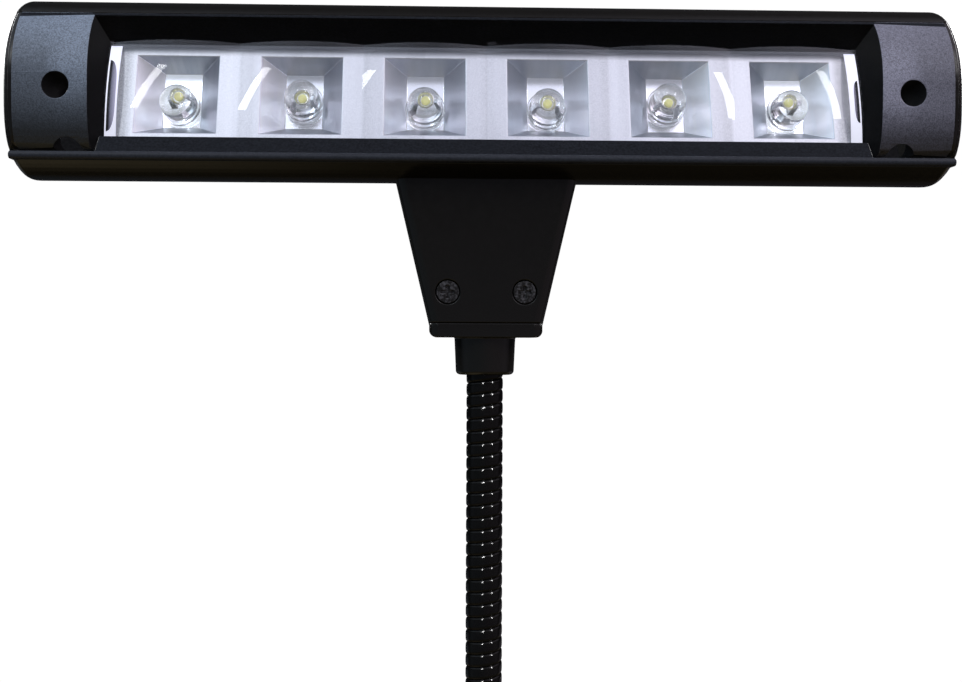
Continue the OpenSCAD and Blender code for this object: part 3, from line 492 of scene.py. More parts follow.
def look_dark_steel(g, colours):
    """Blackened screw steel with worn edges."""
    wear = g.noise(2400, 3)
    return g.principled(
        base_color=g.mix(wear.ramp(0.45, 0.75), (0.018, 0.017, 0.016), (0.1, 0.1, 0.105)), metallic=0.85,
        roughness=wear.ramp(0.3, 0.7, 0.3, 0.5), normal=g.bump(wear, 0.00003, 0.3))


def look_steel(g, colours):
    """Plain drawn steel."""
    brush = g.noise(1.0, 3, 0.6, g.stretched((300.0, 2600.0, 2600.0)))
    return g.principled(
        base_color=g.mix(brush, (0.42, 0.42, 0.44), (0.62, 0.62, 0.64)), metallic=1.0,
        roughness=brush.ramp(0.3, 0.7, 0.24, 0.42), normal=g.bump(brush, 0.00002, 0.3))


def look_rubber(g, colours):
    """Matte moulded rubber."""
    grain = g.noise(1500, 3, 0.6)
    return g.principled(
        base_color=g.mix(grain, (0.014, 0.014, 0.014), (0.03, 0.03, 0.031)),
        roughness=grain.ramp(0.3, 0.7, 0.7, 0.88), normal=g.bump(grain, 0.0001, 0.4))


def look_board(g, colours):
    """Green lacquer over copper runs."""
    runs = g.add("ShaderNodeTexBrick", {
        "Vector": g.place(), "Scale": 260.0, "Mortar Size": 0.012, "Color1": (0.02, 0.12, 0.05, 1.0),
        "Color2": (0.018, 0.105, 0.045, 1.0), "Mortar": (0.05, 0.22, 0.09, 1.0)})
    return g.principled(base_color=runs, roughness=g.noise(400).ramp(0.3, 0.7, 0.3, 0.45))


def look_cell(g, colours):
    """Plain foil wrap with a dark band at one end."""
    band = g.axis(2).ramp(10.8 * MM, 11.2 * MM)
    foil = g.noise(500, 2)
    wrap = g.mix(foil, (0.3, 0.31, 0.33), (0.42, 0.43, 0.45))
    return g.principled(
        base_color=g.mix(band, (0.02, 0.022, 0.025), wrap), metallic=0.5,
        roughness=foil.ramp(0.3, 0.7, 0.28, 0.4))


def look_switch(g, colours):
    """Black switch housing."""
    grain = g.noise(1800, 2)
    return g.principled(
        base_color=g.mix(grain, (0.012, 0.012, 0.013), (0.024, 0.024, 0.026)),
        roughness=grain.ramp(0.3, 0.7, 0.45, 0.6), normal=g.bump(grain, 0.00005, 0.3))


LOOKS = {
    "shell": look_shell, "bezel": look_bezel, "shield": look_shield, "recess": look_recess, "lip": look_lip_painted_highlight,
    "silver": look_silver, "floor": look_floor_painted_glow,
    # Lit and shaded copies of one plating: painted shade on the upper and lower sides, painted light on the
    # sides that face the row's middle.
    "wall": wall_look((0.44, 0.47, 0.52), (0.52, 0.54, 0.59), 0.0),
    "wall_painted_shade": wall_look((0.33, 0.36, 0.4), (0.42, 0.44, 0.48), 0.0),
    "wall_painted_light": wall_look((0.9, 0.9, 0.95), (0.97, 0.97, 1.0), 0.17),
    "lens": look_lens, "lens_edge": look_lens_edge, "end_plate": look_end_plate_painted_glow, "end_slot": look_end_slot,
    "epoxy": look_epoxy, "chip": look_chip_painted_glow, "leads": look_leads, "arm": look_arm,
    "dark_steel": look_dark_steel, "steel": look_steel, "case": look_case, "rubber": look_rubber,
    "board": look_board, "cell": look_cell, "switch": look_switch,
}


def finish_piece(name, bm, looks, body=None, replaces=(), smooth=35.0):
    """Turns a bmesh into a piece that rides on a body and stands for CAD nodes."""
    bmesh.ops.recalc_face_normals(bm, faces=bm.faces)
    mesh = bpy.data.meshes.new(name)
    bm.to_mesh(mesh)
    bm.free()
    for look in looks:
        mesh.materials.append(material(look))
    mesh.polygons.foreach_set("use_smooth", [True] * len(mesh.polygons))
    mesh.set_sharp_from_angle(angle=math.radians(smooth))
    piece = bpy.data.objects.new(name, mesh)
    bpy.context.scene.collection.objects.link(piece)
    if body:
        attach(piece, body)
    if replaces:
        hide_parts(*replaces)
    return piece


def body_of_node(node):
    """Name of the body that holds a CAD node."""
    for body, nodes in frame["record"]["behaviour"]["bodies"].items():
        if node in nodes:
            return body
    raise RuntimeError(f"no body holds {node}")


def cad_form(node):
    """A CAD node's mesh with its flat faces joined up."""
    bm = bmesh.new()
    bm.from_mesh(frame["nodes"][node].data)
    bmesh.ops.remove_doubles(bm, verts=bm.verts, dist=0.002 * MM)
    bmesh.ops.dissolve_limit(
        bm, angle_limit=math.radians(0.6), verts=bm.verts, edges=bm.edges, delimit={"NORMAL"})
    return bm


def round_edges(bm, width, segments=2, sharper=32.0):
    """Rounds every edge whose faces turn by more than an angle."""
    edges = [
        e for e in bm.edges
        if len(e.link_faces) == 2 and e.calc_face_angle(0.0) > math.radians(sharper)
    ]
    bmesh.ops.bevel(
        bm, geom=edges, offset=width, offset_type="OFFSET", segments=segments, profile=0.5, affect="EDGES",
        clamp_overlap=False, material=-1)


def softened(node, look, width=None, segments=2):
    """A piece with a CAD node's form and rounded edges."""
    bm = cad_form(node)
    round_edges(bm, width or bpy.context.scene.lamp_sizes.edge, segments)
    dress(node, bm, [look])


def dress(node, bm, looks):
    """Finishes a piece that stands for one CAD node on that node's body."""
    piece = finish_piece(f"visual_{node}", bm, looks, body_of_node(node), [node], 40.0)
    return even_shading(piece)


def even_shading(piece):
    """Lets the large faces rule the shading, so that flats stay flat beside their rounded edges."""
    weighted = piece.modifiers.new("even shading", "WEIGHTED_NORMAL")
    weighted.keep_sharp = True
    return piece


def window_matrix():
    """From the window's own frame, whose -Y is the way the light leaves, to the lamp's frame."""
    tilt = bpy.context.scene.lamp_sizes.window_tilt
    return Matrix.Translation(FACE_MID) @ Matrix.Rotation(-tilt, 4, "X")


def chain(bm, points):
    """Adds an open line of edges through points."""
    verts = [bm.verts.new(point) for point in points]
    return [bm.edges.new(pair) for pair in zip(verts, verts[1:])]


def lathe(bm, profile, steps, matrix, look=0):
    """Turns a profile of (radius, height) points round Z, in the place that a matrix gives."""
    old = set(bm.faces)
    bmesh.ops.spin(
        bm, geom=chain(bm, [matrix @ Vector((r, 0, h)) for r, h in profile]), cent=matrix.translation,
        axis=matrix.to_3x3() @ Vector((0, 0, 1)), angle=2 * math.pi, steps=steps, use_merge=True)
    new = [face for face in bm.faces if face not in old]
    for face in new:
        face.material_index = look
    bmesh.ops.remove_doubles(bm, verts=list({v for face in new for v in face.verts}), dist=0.001 * MM)


def box(bm, low, high, matrix):
    """Adds a block given by its corners."""
    low, high = Vector(low), Vector(high)
    stretch = Matrix.Diagonal((*(high - low), 1.0))
    bmesh.ops.create_cube(bm, size=1.0, matrix=matrix @ Matrix.Translation((low + high) / 2) @ stretch)


def light_group(state):
    """Group of arm pieces that a light takes in (INCLUDE) or leaves out (EXCLUDE)."""
    name = f"arm {state.lower()}"
    return bpy.data.collections.get(name) or bpy.data.collections.new(name)


def let_light_past(piece):
    """Keeps a black moulding round the window from darkening the reflector under the high front lights."""
    piece.visible_glossy = False
    piece.visible_diffuse = False
    piece.visible_shadow = False


class LAMP_OT_stage(bpy.types.Operator):
    """Sets the camera, the floor and the studio lights"""

    bl_idname = "lamp.stage"
    bl_label = "Stage"

    def execute(self, context):
        scene = context.scene
        scene.view_settings.view_transform = "Standard"
        self.camera(scene)
        self.floor(scene)
        self.sky(scene)
        self.lamps(scene)
        return {"FINISHED"}

    def camera(self, scene):
        """A near view from the front, a little below the drum."""
        place = HEAD_MID + Vector((-8.42, -250.17, -51.02)) * MM
        yaw, roll = math.radians(1.744), math.radians(0.214)
        sensor_width, picture_pixels, focal_pixels = 36.0, 962, 1200
        camera = bpy.data.objects.new("camera", bpy.data.cameras.new("camera"))
        camera.data.sensor_width = sensor_width
        camera.data.lens = sensor_width * focal_pixels / picture_pixels
        camera.data.clip_start = 10 * MM
        camera.matrix_world = (
            Matrix.Translation(place) @ Matrix.Rotation(-yaw, 4, "Z")
            @ Matrix.Rotation(math.radians(90), 4, "X") @ Matrix.Rotation(roll, 4, "Z"))
        scene.collection.objects.link(camera)
        scene.camera = camera

    def floor(self, scene):
        """A pale disc that keeps the shadow and fades out towards its rim."""
        level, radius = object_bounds()[0][2] - 0.3 * MM, 0.85
        fade_from, fade_to = 0.25, 0.8
        bm = bmesh.new()
        bmesh.ops.create_circle(
            bm, cap_ends=True, segments=96, radius=radius, matrix=Matrix.Translation((0, 0, level)))
        mesh = bpy.data.meshes.new("floor")
        bm.to_mesh(mesh)
        bm.free()
        made = bpy.data.materials.new("floor")
        made.use_nodes = True
        g = Graph(made.node_tree)
        across, back = g.axis(0), g.axis(1)
        far = (across * across + back * back) ** 0.5
        paper = g.noise(60, 3)
        plain = g.principled(base_color=g.mix(paper, (0.86, 0.86, 0.86), (0.9, 0.9, 0.9)), roughness=0.7)
        gone = g.add("ShaderNodeBsdfTransparent")
        g.output(g.add("ShaderNodeMixShader", {0: far.ramp(fade_from, fade_to), 1: plain, 2: gone}))
        mesh.materials.append(made)
        floor = bpy.data.objects.new("floor", mesh)
        scene.collection.objects.link(floor)
        floor.visible_glossy = False
        floor.visible_diffuse = False
        floor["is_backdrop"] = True

    def sky(self, scene):
        """White to the camera. To the lamp, high front panels with a gap, and low glows that it mirrors."""
        world = bpy.data.worlds.new("studio")
        scene.world = world
        world.use_nodes = True
        g = Graph(world.node_tree)
        way = g.add("ShaderNodeTexCoord", out="Generated")
        across, back, up = (g.add("ShaderNodeSeparateXYZ", {0: way}, out=axis) for axis in range(3))
        gap = g.math("EXPONENT", across * across * -50.0)
        low_gap = g.math("EXPONENT", across * across * -7.0) * up.ramp(0.1, 0.5, 0.95, 0.0)
        high = up.ramp(0.18, 0.42) * up.ramp(0.75, 0.95, 1.0, 0.8)
        front = high * back.ramp(0.0, 0.5, 1.0, 0.0) * (1.0 - gap * 0.5) * (1.0 - low_gap)
        cool = g.mix(across.ramp(-0.5, 0.5), (0.8, 0.95, 1.12), (1.14, 1.03, 1.2))
        tint = g.mix(up.ramp(-0.55, -0.3), (1.0, 0.82, 0.5), cool)
        mirrored = g.add("ShaderNodeLightPath", out="Is Glossy Ray")
        glow = mirrored * up.ramp(0.0, 0.25, 1.0, 0.0) * back.ramp(-0.1, 0.3, 1.0, 0.0)
        under = mirrored * up.ramp(-0.88, -0.7, 1.0, 0.0) * across.ramp(-0.3, -0.05, 0.6, 0.06)
        wide = g.math("ABSOLUTE", across).ramp(0.42, 0.6)
        behind = mirrored * wide * back.ramp(0.25, 0.5) * up.ramp(-0.35, -0.08, 0.3, 0.0)
        strength = front * 1.5 + 0.03 + glow * 0.36 + under + behind
        dim = g.add("ShaderNodeBackground", {"Color": tint, "Strength": strength})
        white = g.add("ShaderNodeBackground", {"Color": (1, 1, 1, 1), "Strength": 1.02})
        seen = g.add("ShaderNodeLightPath", out="Is Camera Ray")
        g.add("ShaderNodeOutputWorld", {"Surface": g.add("ShaderNodeMixShader", {0: seen, 1: dim, 2: white})})

    def lamps(self, scene):
        """Two strips for the window, two that glint on the arm alone, and two soft lights behind."""
        def panel(name, place, turn, size, power):
            light = bpy.data.lights.new(name, "AREA")
            light.shape = "RECTANGLE"
            light.size, light.size_y = size
            light.energy = power
            lamp = bpy.data.objects.new(name, light)
            lamp.location = place
            lamp.rotation_euler = turn.to_euler()
            lamp.visible_camera = False
            scene.collection.objects.link(lamp)
            return lamp

        def toward(azimuth, elevation, far):
            """A place seen from the head at an azimuth to the right and an elevation, in degrees."""
            a, e = math.radians(azimuth), math.radians(elevation)
            way = Vector((math.sin(a) * math.cos(e), -math.cos(a) * math.cos(e), math.sin(e)))
            return HEAD_MID + far * way

        for name, upper, lower, width, power in (
                ("strip_left", toward(-27.5, 51, 2.4), toward(-29, 26, 2.4), 0.11, 7.0),
                ("strip_right", toward(39.5, 49, 2.4), toward(33.5, 23, 2.4), 0.11, 7.0),
                ("glint_left", toward(-15.8, 42, 2.0), toward(-15.8, 8, 2.0), 0.12, 120.0),
                ("glint_right", toward(48.6, 42, 2.0), toward(48.6, 8, 2.0), 0.12, 120.0)):
            place = (upper + lower) / 2
            along = (upper - lower).normalized()
            side = along.cross(place - HEAD_MID).normalized()
            turn = Matrix((side, along, side.cross(along))).transposed()
            lamp = panel(name, place, turn, (width, (upper - lower).length), power)
            if name.startswith("glint"):
                lamp.visible_diffuse = False
                lamp.light_linking.receiver_collection = light_group("INCLUDE")
        for name, azimuth in (("back_left", -130), ("back_right", 130)):
            place = toward(azimuth, 20, 1.2)
            lamp = panel(name, place, (HEAD_MID - place).to_track_quat("-Z", "Y"), (0.35, 0.35), 7.0)
            lamp.light_linking.receiver_collection = light_group("EXCLUDE")


def fill_lower_front(bm, least):
    """Swells the skin's lower front to a rounded square that stays behind the lip and hangs a bit lower."""
    squareness, hang = 3.6, 0.7 * MM
    hang_front, hang_back = -13 * MM, 4 * MM
    lip_level, under_lip = -13.9 * MM, -14.3 * MM
    behind_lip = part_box("glare_shield")[0][1] - HEAD_MID.y + 0.5 * MM
    edge_room, short_edge, straight = 0.1 * MM, 0.8 * MM, 0.4 * MM

    def on_skin(vert):
        place = vert.co - HEAD_MID
        return place.y < edge_room and place.z < edge_room and math.hypot(place.y, place.z) > least

    curved = [
        e for e in bm.edges
        if all(on_skin(v) for v in e.verts) and abs(e.verts[0].co.x - e.verts[1].co.x) < straight
        and e.calc_length() > short_edge]
    bmesh.ops.subdivide_edges(bm, edges=curved, cuts=3, use_grid_fill=True)
    for vert in bm.verts:
        place = vert.co - HEAD_MID
        if on_skin(vert):
            r = math.hypot(place.y, place.z)
            sink = min(1.0, max(0.0, -place.z / r))
            swollen = -r * (1 - sink ** squareness) ** (1 / squareness)
            if place.z < lip_level:
                swollen = max(swollen, behind_lip)
            place.y = min(swollen, place.y)
        if place.z < under_lip and math.hypot(place.y, place.z) > least:
            part = min(1.0, max(0.0, (place.y - hang_front) / (hang_back - hang_front)))
            place.z -= hang * math.sin(math.pi * part) ** 2
        vert.co = HEAD_MID + place


class LAMP_OT_head_shell(bpy.types.Operator):
    """Builds the drum-shaped rear shell, the neck cover and the neck's end cap"""

    bl_idname = "lamp.head_shell"
    bl_label = "Head shell"

    def execute(self, context):
        self.rear_shell()
        for node in ("neck_cover", "neck_end_cap"):
            softened(node, "shell", 0.25 * MM)
        return {"FINISHED"}

    def rear_shell(self):
        """The drum, glossy outside and matte inside."""
        bm = cad_form("rear_shell")
        round_edges(bm, 0.25 * MM)
        fill_lower_front(bm, HEAD_R - 2.3 * MM)
        inside_r = HEAD_R - 0.8 * MM
        bm.normal_update()
        for face in bm.faces:
            mid = face.calc_center_median() - HEAD_MID
            hollow = mid.y * face.normal.y + mid.z * face.normal.z < 0 and math.hypot(mid.y, mid.z) < inside_r
            face.material_index = 1 if hollow else 0
        let_light_past(dress("rear_shell", bm, ["shell", "recess"]))


class LAMP_OT_bezel(bpy.types.Operator):
    """Builds the textured bezel and the glare shield"""

    bl_idname = "lamp.bezel"
    bl_label = "Bezel"

    def execute(self, context):
        self.cheeks_and_recess()
        self.shield()
        return {"FINISHED"}

    def shield(self):
        """The strip under the window, with a painted highlight on its front edge."""
        bm = cad_form("glare_shield")
        round_edges(bm, 0.25 * MM)
        bm.normal_update()
        edge_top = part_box("glare_shield")[0][2] + 1.7 * MM
        for face in bm.faces:
            # Faces on the front edge get the lip look, a painted highlight.
            painted_highlight_edge = face.normal.y < -0.1 and face.calc_center_median().z < edge_top
            face.material_index = 1 if painted_highlight_edge else 0
        dress("glare_shield", bm, ["shield", "lip"])

    def cheeks_and_recess(self):
        """Textured cheeks on the drum's round, with a plain rim, and matte black everywhere else."""
        bm = cad_form("front_bezel")
        round_edges(bm, 0.2 * MM)
        fill_lower_front(bm, HEAD_R - 0.7 * MM)
        rim, cheek, skin_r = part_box("front_bezel")[1][0] - 0.75 * MM, 76 * MM, HEAD_R - 0.3 * MM
        facing_out = 0.75
        for side in (-1, 1):
            bmesh.ops.bisect_plane(
                bm, geom=bm.verts[:] + bm.edges[:] + bm.faces[:], plane_co=(side * rim, 0, 0),
                plane_no=(1, 0, 0))
        bm.normal_update()
        for face in bm.faces:
            mid = face.calc_center_median() - HEAD_MID
            out = math.hypot(mid.y, mid.z)
            on_round = out > skin_r and (mid.y * face.normal.y + mid.z * face.normal.z) / out > facing_out
            look = 3 if abs(mid.x) > rim else 0 if abs(mid.x) > cheek else 2
            face.material_index = look if on_round else 1
        let_light_past(dress("front_bezel", bm, ["bezel", "recess", "shield", "shell"]))


class LAMP_OT_window(bpy.types.Operator):
    """Builds the silver reflector and the clear lens"""

    bl_idname = "lamp.window"
    bl_label = "Window"

    def execute(self, context):
        self.reflector()
        self.lens(context.scene.lamp_sizes)
        softened("led_board", "board", 0.1 * MM, 1)
        return {"FINISHED"}

    def reflector(self):
        """The plated funnels, with painted light on the floors and on the sides that face the row's middle,
        and painted shade on the upper and lower sides.
        """
        bm = cad_form("reflector")
        round_edges(bm, 0.15 * MM, 3)
        bm.normal_update()
        rim_depth, floor_depth, back_depth, middle_half = 0.3 * MM, 5 * MM, 5.75 * MM, 15 * MM
        into = window_matrix().inverted()
        for face in bm.faces:
            mid = into @ face.calc_center_median()
            way = into.to_3x3() @ face.normal
            ahead = way.y < -0.9
            inside = rim_depth < mid.y < back_depth
            # Sides that face the row's middle get painted light, upper and lower sides painted shade.
            painted_lit_side = way.x * mid.x < 0 and abs(way.x) > 0.4 and abs(mid.x) > middle_half
            side = 3 if painted_lit_side else 4 if abs(way.z) > 0.4 else 2
            face.material_index = 1 if ahead and mid.y > floor_depth else side if inside and not ahead else 0
        dress("reflector", bm, ["silver", "floor", "wall", "wall_painted_light", "wall_painted_shade"])

    def lens(self, sizes):
        """A shell on an arc, swept along the row and scalloped over each LED, with slotted end walls."""
        half_l, half_h, thick, skirt, seat = 76.7 * MM, 11 * MM, 1.2 * MM, 0.8 * MM, 0.1 * MM
        arc_r, along, across = 45 * MM, 240, 24
        row = LEDS * sizes.led_pitch / 2
        crown = seat + thick + sizes.lens_rise + arc_r - math.sqrt(arc_r ** 2 - half_h ** 2)
        cell_r = (sizes.led_pitch ** 2 / 4 + sizes.lens_rise ** 2) / (2 * sizes.lens_rise)
        reach = math.asin(half_h / arc_r)
        turns = [reach * (2 * j / across - 1) for j in range(across + 1)]
        place = window_matrix()

        def on_arc(r, turn):
            return Vector((-half_l, arc_r - crown - r * math.cos(turn), r * math.sin(turn)))

        def foot(z):
            return Vector((-half_l, -seat, z))

        front = [on_arc(arc_r, turn) for turn in turns]
        back = [on_arc(arc_r - thick, turn * (1 - skirt / half_h)) for turn in reversed(turns)]
        upper_feet = [foot(half_h), foot(half_h - skirt)]
        lower_feet = [foot(skirt - half_h), foot(-half_h)]
        bm = bmesh.new()
        edges = chain(bm, front + upper_feet + back + lower_feet + front[:1])
        for length, steps in ((half_l - row, 1), (2 * row, along), (half_l - row, 1)):
            swept = bmesh.ops.spin(
                bm, geom=edges, cent=(0, 0, 0), axis=(1, 0, 0), angle=0, dvec=(length / steps, 0, 0),
                steps=steps)
            edges = [part for part in swept["geom_last"] if isinstance(part, bmesh.types.BMEdge)]
        bmesh.ops.remove_doubles(bm, verts=bm.verts, dist=0.001 * MM)
        skin = {vert for vert in bm.verts if vert.co.y < -2 * seat}
        for face in bm.faces:
            face.material_index = 0 if skin.issuperset(face.verts) else 1
        for vert in skin:
            cell = (vert.co.x / sizes.led_pitch + LEDS / 2) % 1.0 * 2 - 1
            drop = cell_r - math.sqrt(cell_r ** 2 - (cell * sizes.led_pitch / 2) ** 2)
            turn = math.atan2(vert.co.z, arc_r - crown - vert.co.y)
            vert.co += drop * Vector((0, math.cos(turn), -math.sin(turn)))
        bmesh.ops.transform(bm, matrix=place, verts=bm.verts)
        self.end_plate(bm, place, -1, 7.8 * MM, 1.6 * MM)
        self.end_plate(bm, place, 1, 4.7 * MM, 0.95 * MM)
        # The mark of the moulding gate on the upper edge
        box(bm, (0.2 * MM, -2.2 * MM, half_h - 0.3 * MM), (2.0 * MM, -1.2 * MM, half_h + 0.4 * MM), place)
        looks = ["lens", "lens_edge", "end_plate", "end_slot"]
        finish_piece("visual_lens", bm, looks, "head", ["lens_cover"], 9.0)

    def end_plate(self, bm, place, side, slot_half, slot_width):
        """A milky end that follows the cover's curve, with a slot that bows towards the middle."""
        plate_half, plate_in, plate_out = 10.3 * MM, 74.4 * MM, 76.7 * MM
        slot_mid, slot_out, slot_lift = -0.95 * MM, 76.4 * MM, 0.02 * MM
        ahead, curve_r, bow_power, steps = 1.75 * MM, 45 * MM, 3.6, 60

        def strip(mid, half, inner, outer, lift, look):
            verts = bmesh.ops.create_grid(bm, x_segments=1, y_segments=steps, size=1)["verts"]
            for face in {face for vert in verts for face in vert.link_faces}:
                face.material_index = look
            for vert in verts:
                u = mid + half * vert.co.y
                out = outer if vert.co.x > 0 else inner(u)
                vert.co = place @ Vector((side * out, u * u / (2 * curve_r) - ahead - lift, u))

        def bow(u):
            part = min(1.0, abs(u - slot_mid) / slot_half)
            return slot_out - slot_width * (1 - part ** bow_power) ** 0.5

        strip(0.0, plate_half, lambda u: plate_in, plate_out, 0.0, 2)
        strip(slot_mid, slot_half, bow, slot_out, slot_lift, 3)


class LAMP_OT_leds(bpy.types.Operator):
    """Builds the clear LEDs with their chips and leads"""

    bl_idname = "lamp.leds"
    bl_label = "LEDs"
    # Lean up and to the side in degrees, rise of the foot above the funnel's middle in mm, as soldered,
    # and the chip's place off the axis in mm
    settings = (
        (4, -6, -0.6, (0.2, 0.8)), (0, -3, 0.5, (0.12, -0.15)), (3, -2, -0.7, (0.15, 0.6)),
        (3, 2, -0.7, (0.0, 0.32)), (0, 3, 0.6, (-0.05, -0.33)), (4, 6, -0.5, (-0.22, 0.7)))

    def execute(self, context):
        sizes = context.scene.lamp_sizes
        foot_depth = 5 * MM
        for i, (lean_up, lean_side, rise, (off_x, off_y)) in enumerate(self.settings, 1):
            foot = Vector(((i - (LEDS + 1) / 2) * sizes.led_pitch, foot_depth, rise * MM))
            place = (
                window_matrix() @ Matrix.Translation(foot) @ Matrix.Rotation(math.radians(lean_side), 4, "Z")
                @ Matrix.Rotation(math.radians(90 + lean_up), 4, "X"))
            self.body(i, sizes, place)
            self.core(i, sizes, place @ Matrix.Translation(Vector((off_x, off_y, 0)) * MM))
        return {"FINISHED"}

    def body(self, i, sizes, place):
        """The clear casting: a rim, a short barrel and a dome."""
        r = sizes.led_radius
        rim_r, rim, rim_edge, dome_foot, turns = r * 1.138, 1.0 * MM, 0.12 * MM, 2.9 * MM, 16
        profile = [
            (0, 0), (r * 1.11, 0), (rim_r, rim_edge), (rim_r, rim - rim_edge), (r * 1.11, rim),
            (r * 1.03, rim), (r, rim + 0.15 * MM)]
        for k in range(turns + 1):
            turn = math.pi / 2 * k / turns
            profile.append((r * math.cos(turn) if k < turns else 0, dome_foot + r * math.sin(turn)))
        bm = bmesh.new()
        lathe(bm, profile, 48, place)
        finish_piece(f"visual_led_{i}", bm, ["epoxy"], "head", [f"led_{i}"], 48.0)

    def core(self, i, sizes, place):
        """The cup with the chip on it, and the two posts of the lead frame."""
        cup = [(0, 2.3), (0.7, 2.3), (1.2, 3.1), (1.1, 3.15), (0.8, 2.8), (0, 2.8)]
        posts = (
            ((-1.5, -0.25, 0.2), (-1.0, 0.25, 2.4)), ((1.0, -0.25, 0.2), (1.5, 0.25, 2.9)),
            ((0.95, -0.3, 2.8), (1.7, 0.3, 3.0)), ((-1.5, -0.3, 2.1), (0.4, 0.3, 2.32)))
        half, crown = sizes.chip * 0.5, sizes.chip * 0.36
        chip = [(0, 2.7 * MM), (half, 2.7 * MM), (half, 3.05 * MM), (crown, 3.2 * MM), (0, 3.24 * MM)]
        bm = bmesh.new()
        lathe(bm, [(r * MM, h * MM) for r, h in cup], 32, place)
        lathe(bm, chip, 12, place, 1)
        for low, high in posts:
            box(bm, Vector(low) * MM, Vector(high) * MM, place)
        finish_piece(f"led_core_{i}", bm, ["leads", "chip"], "head", [], 30.0)


class LAMP_OT_screws(bpy.types.Operator):
    """Builds the screws of the head, the neck and the base"""

    bl_idname = "lamp.screws"
    bl_label = "Screws"

    def execute(self, context):
        for node in ("neck_screws", "bezel_screws", "base_screws"):
            softened(node, "dark_steel", 0.12 * MM)
        return {"FINISHED"}


class LAMP_OT_arm(bpy.types.Operator):
    """Builds the wound arm in pieces that each span one joint"""

    bl_idname = "lamp.arm"
    bl_label = "Arm"

    # Faces round the arm, and up each turn of the winding
    around, along = 40, 16

    def execute(self, context):
        sizes = context.scene.lamp_sizes
        bodies = ["base"] + [f"link_{i}" for i in range(1, LINKS + 1)] + ["head"]
        pivots = [self.pivot(parent, child) for parent, child in zip(bodies, bodies[1:])]
        link = pivots[1] - pivots[0]
        step = sizes.wind_pitch / self.along
        middles = [pivot + link / 2 for pivot in pivots[:-1]]
        cuts = [COLLAR_TOP - sizes.wind_pitch] + middles + [CAP_BOTTOM + sizes.wind_pitch]
        rows = [round((cut - COLLAR_TOP) / step) for cut in cuts]
        for k in range(LINKS + 1):
            bm = self.winding(sizes, rows[k], rows[k + 1])
            piece = finish_piece(f"arm_wind_{k + 1}", bm, ["arm"], smooth=60.0)
            # The seams are helices, so the reach below each joint ends one turn short of its lower seam
            above = link * 0.3 if k in (0, LINKS) else link / 2
            below = min(above, link / 2 - sizes.wind_pitch)
            pivots[k] + above
            pivots[k] - below
            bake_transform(piece)
            if k:
                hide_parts(f"gooseneck_{k}")
            for state in ("INCLUDE", "EXCLUDE"):
                group = light_group(state)
                group.objects.link(piece)
                group.collection_objects[-1].light_linking.link_state = state
        return {"FINISHED"}

    def pivot(self, parent, child):
        """Height of the joint between two bodies."""
        for joint in frame["record"]["behaviour"]["joints"]:
            if joint["parent"] == parent and joint["child"] == child:
                return joint["pos_m"][2]
        raise RuntimeError(f"no joint from {parent} to {child}")

    def winding(self, sizes, first, last):
        """A length of the winding: its bead's outline between two rows, swept up one turn like a screw."""
        bead_width, bead_power = 0.97, 4
        outline = []
        for row in range(first, last + 1):
            across = abs(2 * (row % self.along / self.along) - 1)
            bead = max(0.0, 1 - (across / bead_width) ** bead_power) ** 0.5
            r = sizes.arm_radius - sizes.wind_depth * (1 - bead)
            outline.append((0, ARM_Y - r, COLLAR_TOP + row * sizes.wind_pitch / self.along))
        bm = bmesh.new()
        bmesh.ops.spin(
            bm, geom=chain(bm, outline), cent=(0, ARM_Y, 0), axis=(0, 0, 1), angle=2 * math.pi,
            dvec=(0, 0, sizes.wind_pitch / self.around), steps=self.around)
        for vert in bm.verts:
            vert.co.z = min(max(vert.co.z, COLLAR_TOP), CAP_BOTTOM)
        bmesh.ops.remove_doubles(bm, verts=bm.verts, dist=0.002 * MM)
        return bm


class LAMP_OT_base(bpy.types.Operator):
    """Builds the battery base with its covers, button and collar"""

    bl_idname = "lamp.base"
    bl_label = "Base"

    def execute(self, context):
        for node in ("base_shell", "base_back", "battery_door", "lower_collar"):
            softened(node, "case")
        softened("switch_button", "rubber", 0.25 * MM)
        return {"FINISHED"}


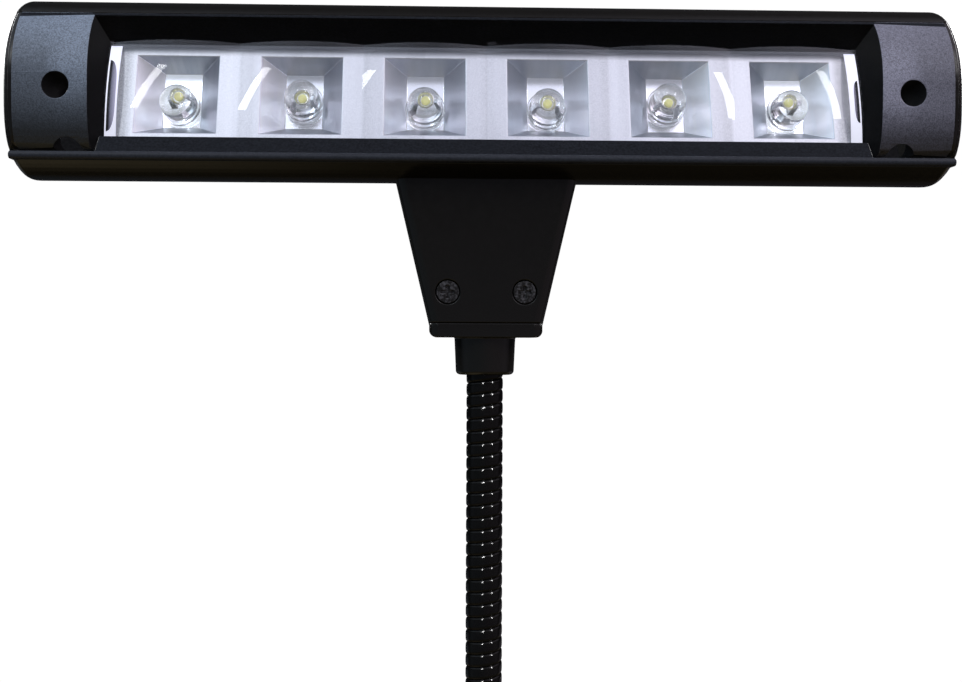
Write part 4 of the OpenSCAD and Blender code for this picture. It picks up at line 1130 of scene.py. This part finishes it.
class LAMP_OT_clip(bpy.types.Operator):
    """Builds the spring clip"""

    bl_idname = "lamp.clip"
    bl_label = "Clip"

    def execute(self, context):
        softened("clip_jaw", "case", 0.4 * MM)
        for node in ("fixed_pad", "moving_pad"):
            softened(node, "rubber", 0.2 * MM)
        softened("hinge_pin", "steel", 0.1 * MM)
        self.spring()
        return {"FINISHED"}

    def spring(self):
        """The torsion spring between the base and the jaw."""
        piece = finish_piece("visual_torsion_spring", cad_form("torsion_spring"), ["steel"], smooth=50.0)
        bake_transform(piece)
        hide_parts("torsion_spring")


class LAMP_OT_inside(bpy.types.Operator):
    """Dresses the pieces inside the base"""

    bl_idname = "lamp.inside"
    bl_label = "Inside"

    def execute(self, context):
        looks = {
            "control_board": "board", "switch_unit": "switch", "collar_nut": "steel",
            "contact_strips": "steel", "battery_1": "cell", "battery_2": "cell", "battery_3": "cell",
        }
        for node, look in looks.items():
            softened(node, look, 0.15 * MM)
        return {"FINISHED"}


class LAMP_PT_panel(bpy.types.Panel):
    """Lists the steps that build the lamp"""

    bl_idname = "LAMP_PT_panel"
    bl_label = "Music stand light"
    bl_space_type = "VIEW_3D"
    bl_region_type = "UI"
    bl_category = "Lamp"

    def draw(self, context):
        for step in STEPS:
            self.layout.operator(step.bl_idname)
        for group in (context.scene.lamp_sizes, context.scene.lamp_colours):
            for key in group.__annotations__:
                self.layout.prop(group, key)


STEPS = (
    LAMP_OT_stage, LAMP_OT_head_shell, LAMP_OT_bezel, LAMP_OT_window, LAMP_OT_leds, LAMP_OT_screws,
    LAMP_OT_arm, LAMP_OT_base, LAMP_OT_clip, LAMP_OT_inside,
)
CLASSES = (LampSizes, LampColours) + STEPS + (LAMP_PT_panel,)


def register():
    for cls in CLASSES:
        bpy.utils.register_class(cls)
    bpy.types.Scene.lamp_sizes = PointerProperty(type=LampSizes)
    bpy.types.Scene.lamp_colours = PointerProperty(type=LampColours)


def unregister():
    del bpy.types.Scene.lamp_colours
    del bpy.types.Scene.lamp_sizes
    for cls in reversed(CLASSES):
        bpy.utils.unregister_class(cls)


def main():
    register()
    for step in STEPS:
        group, name = step.bl_idname.split(".")
        getattr(getattr(bpy.ops, group), name)()


if __name__ == "__main__":
    main()
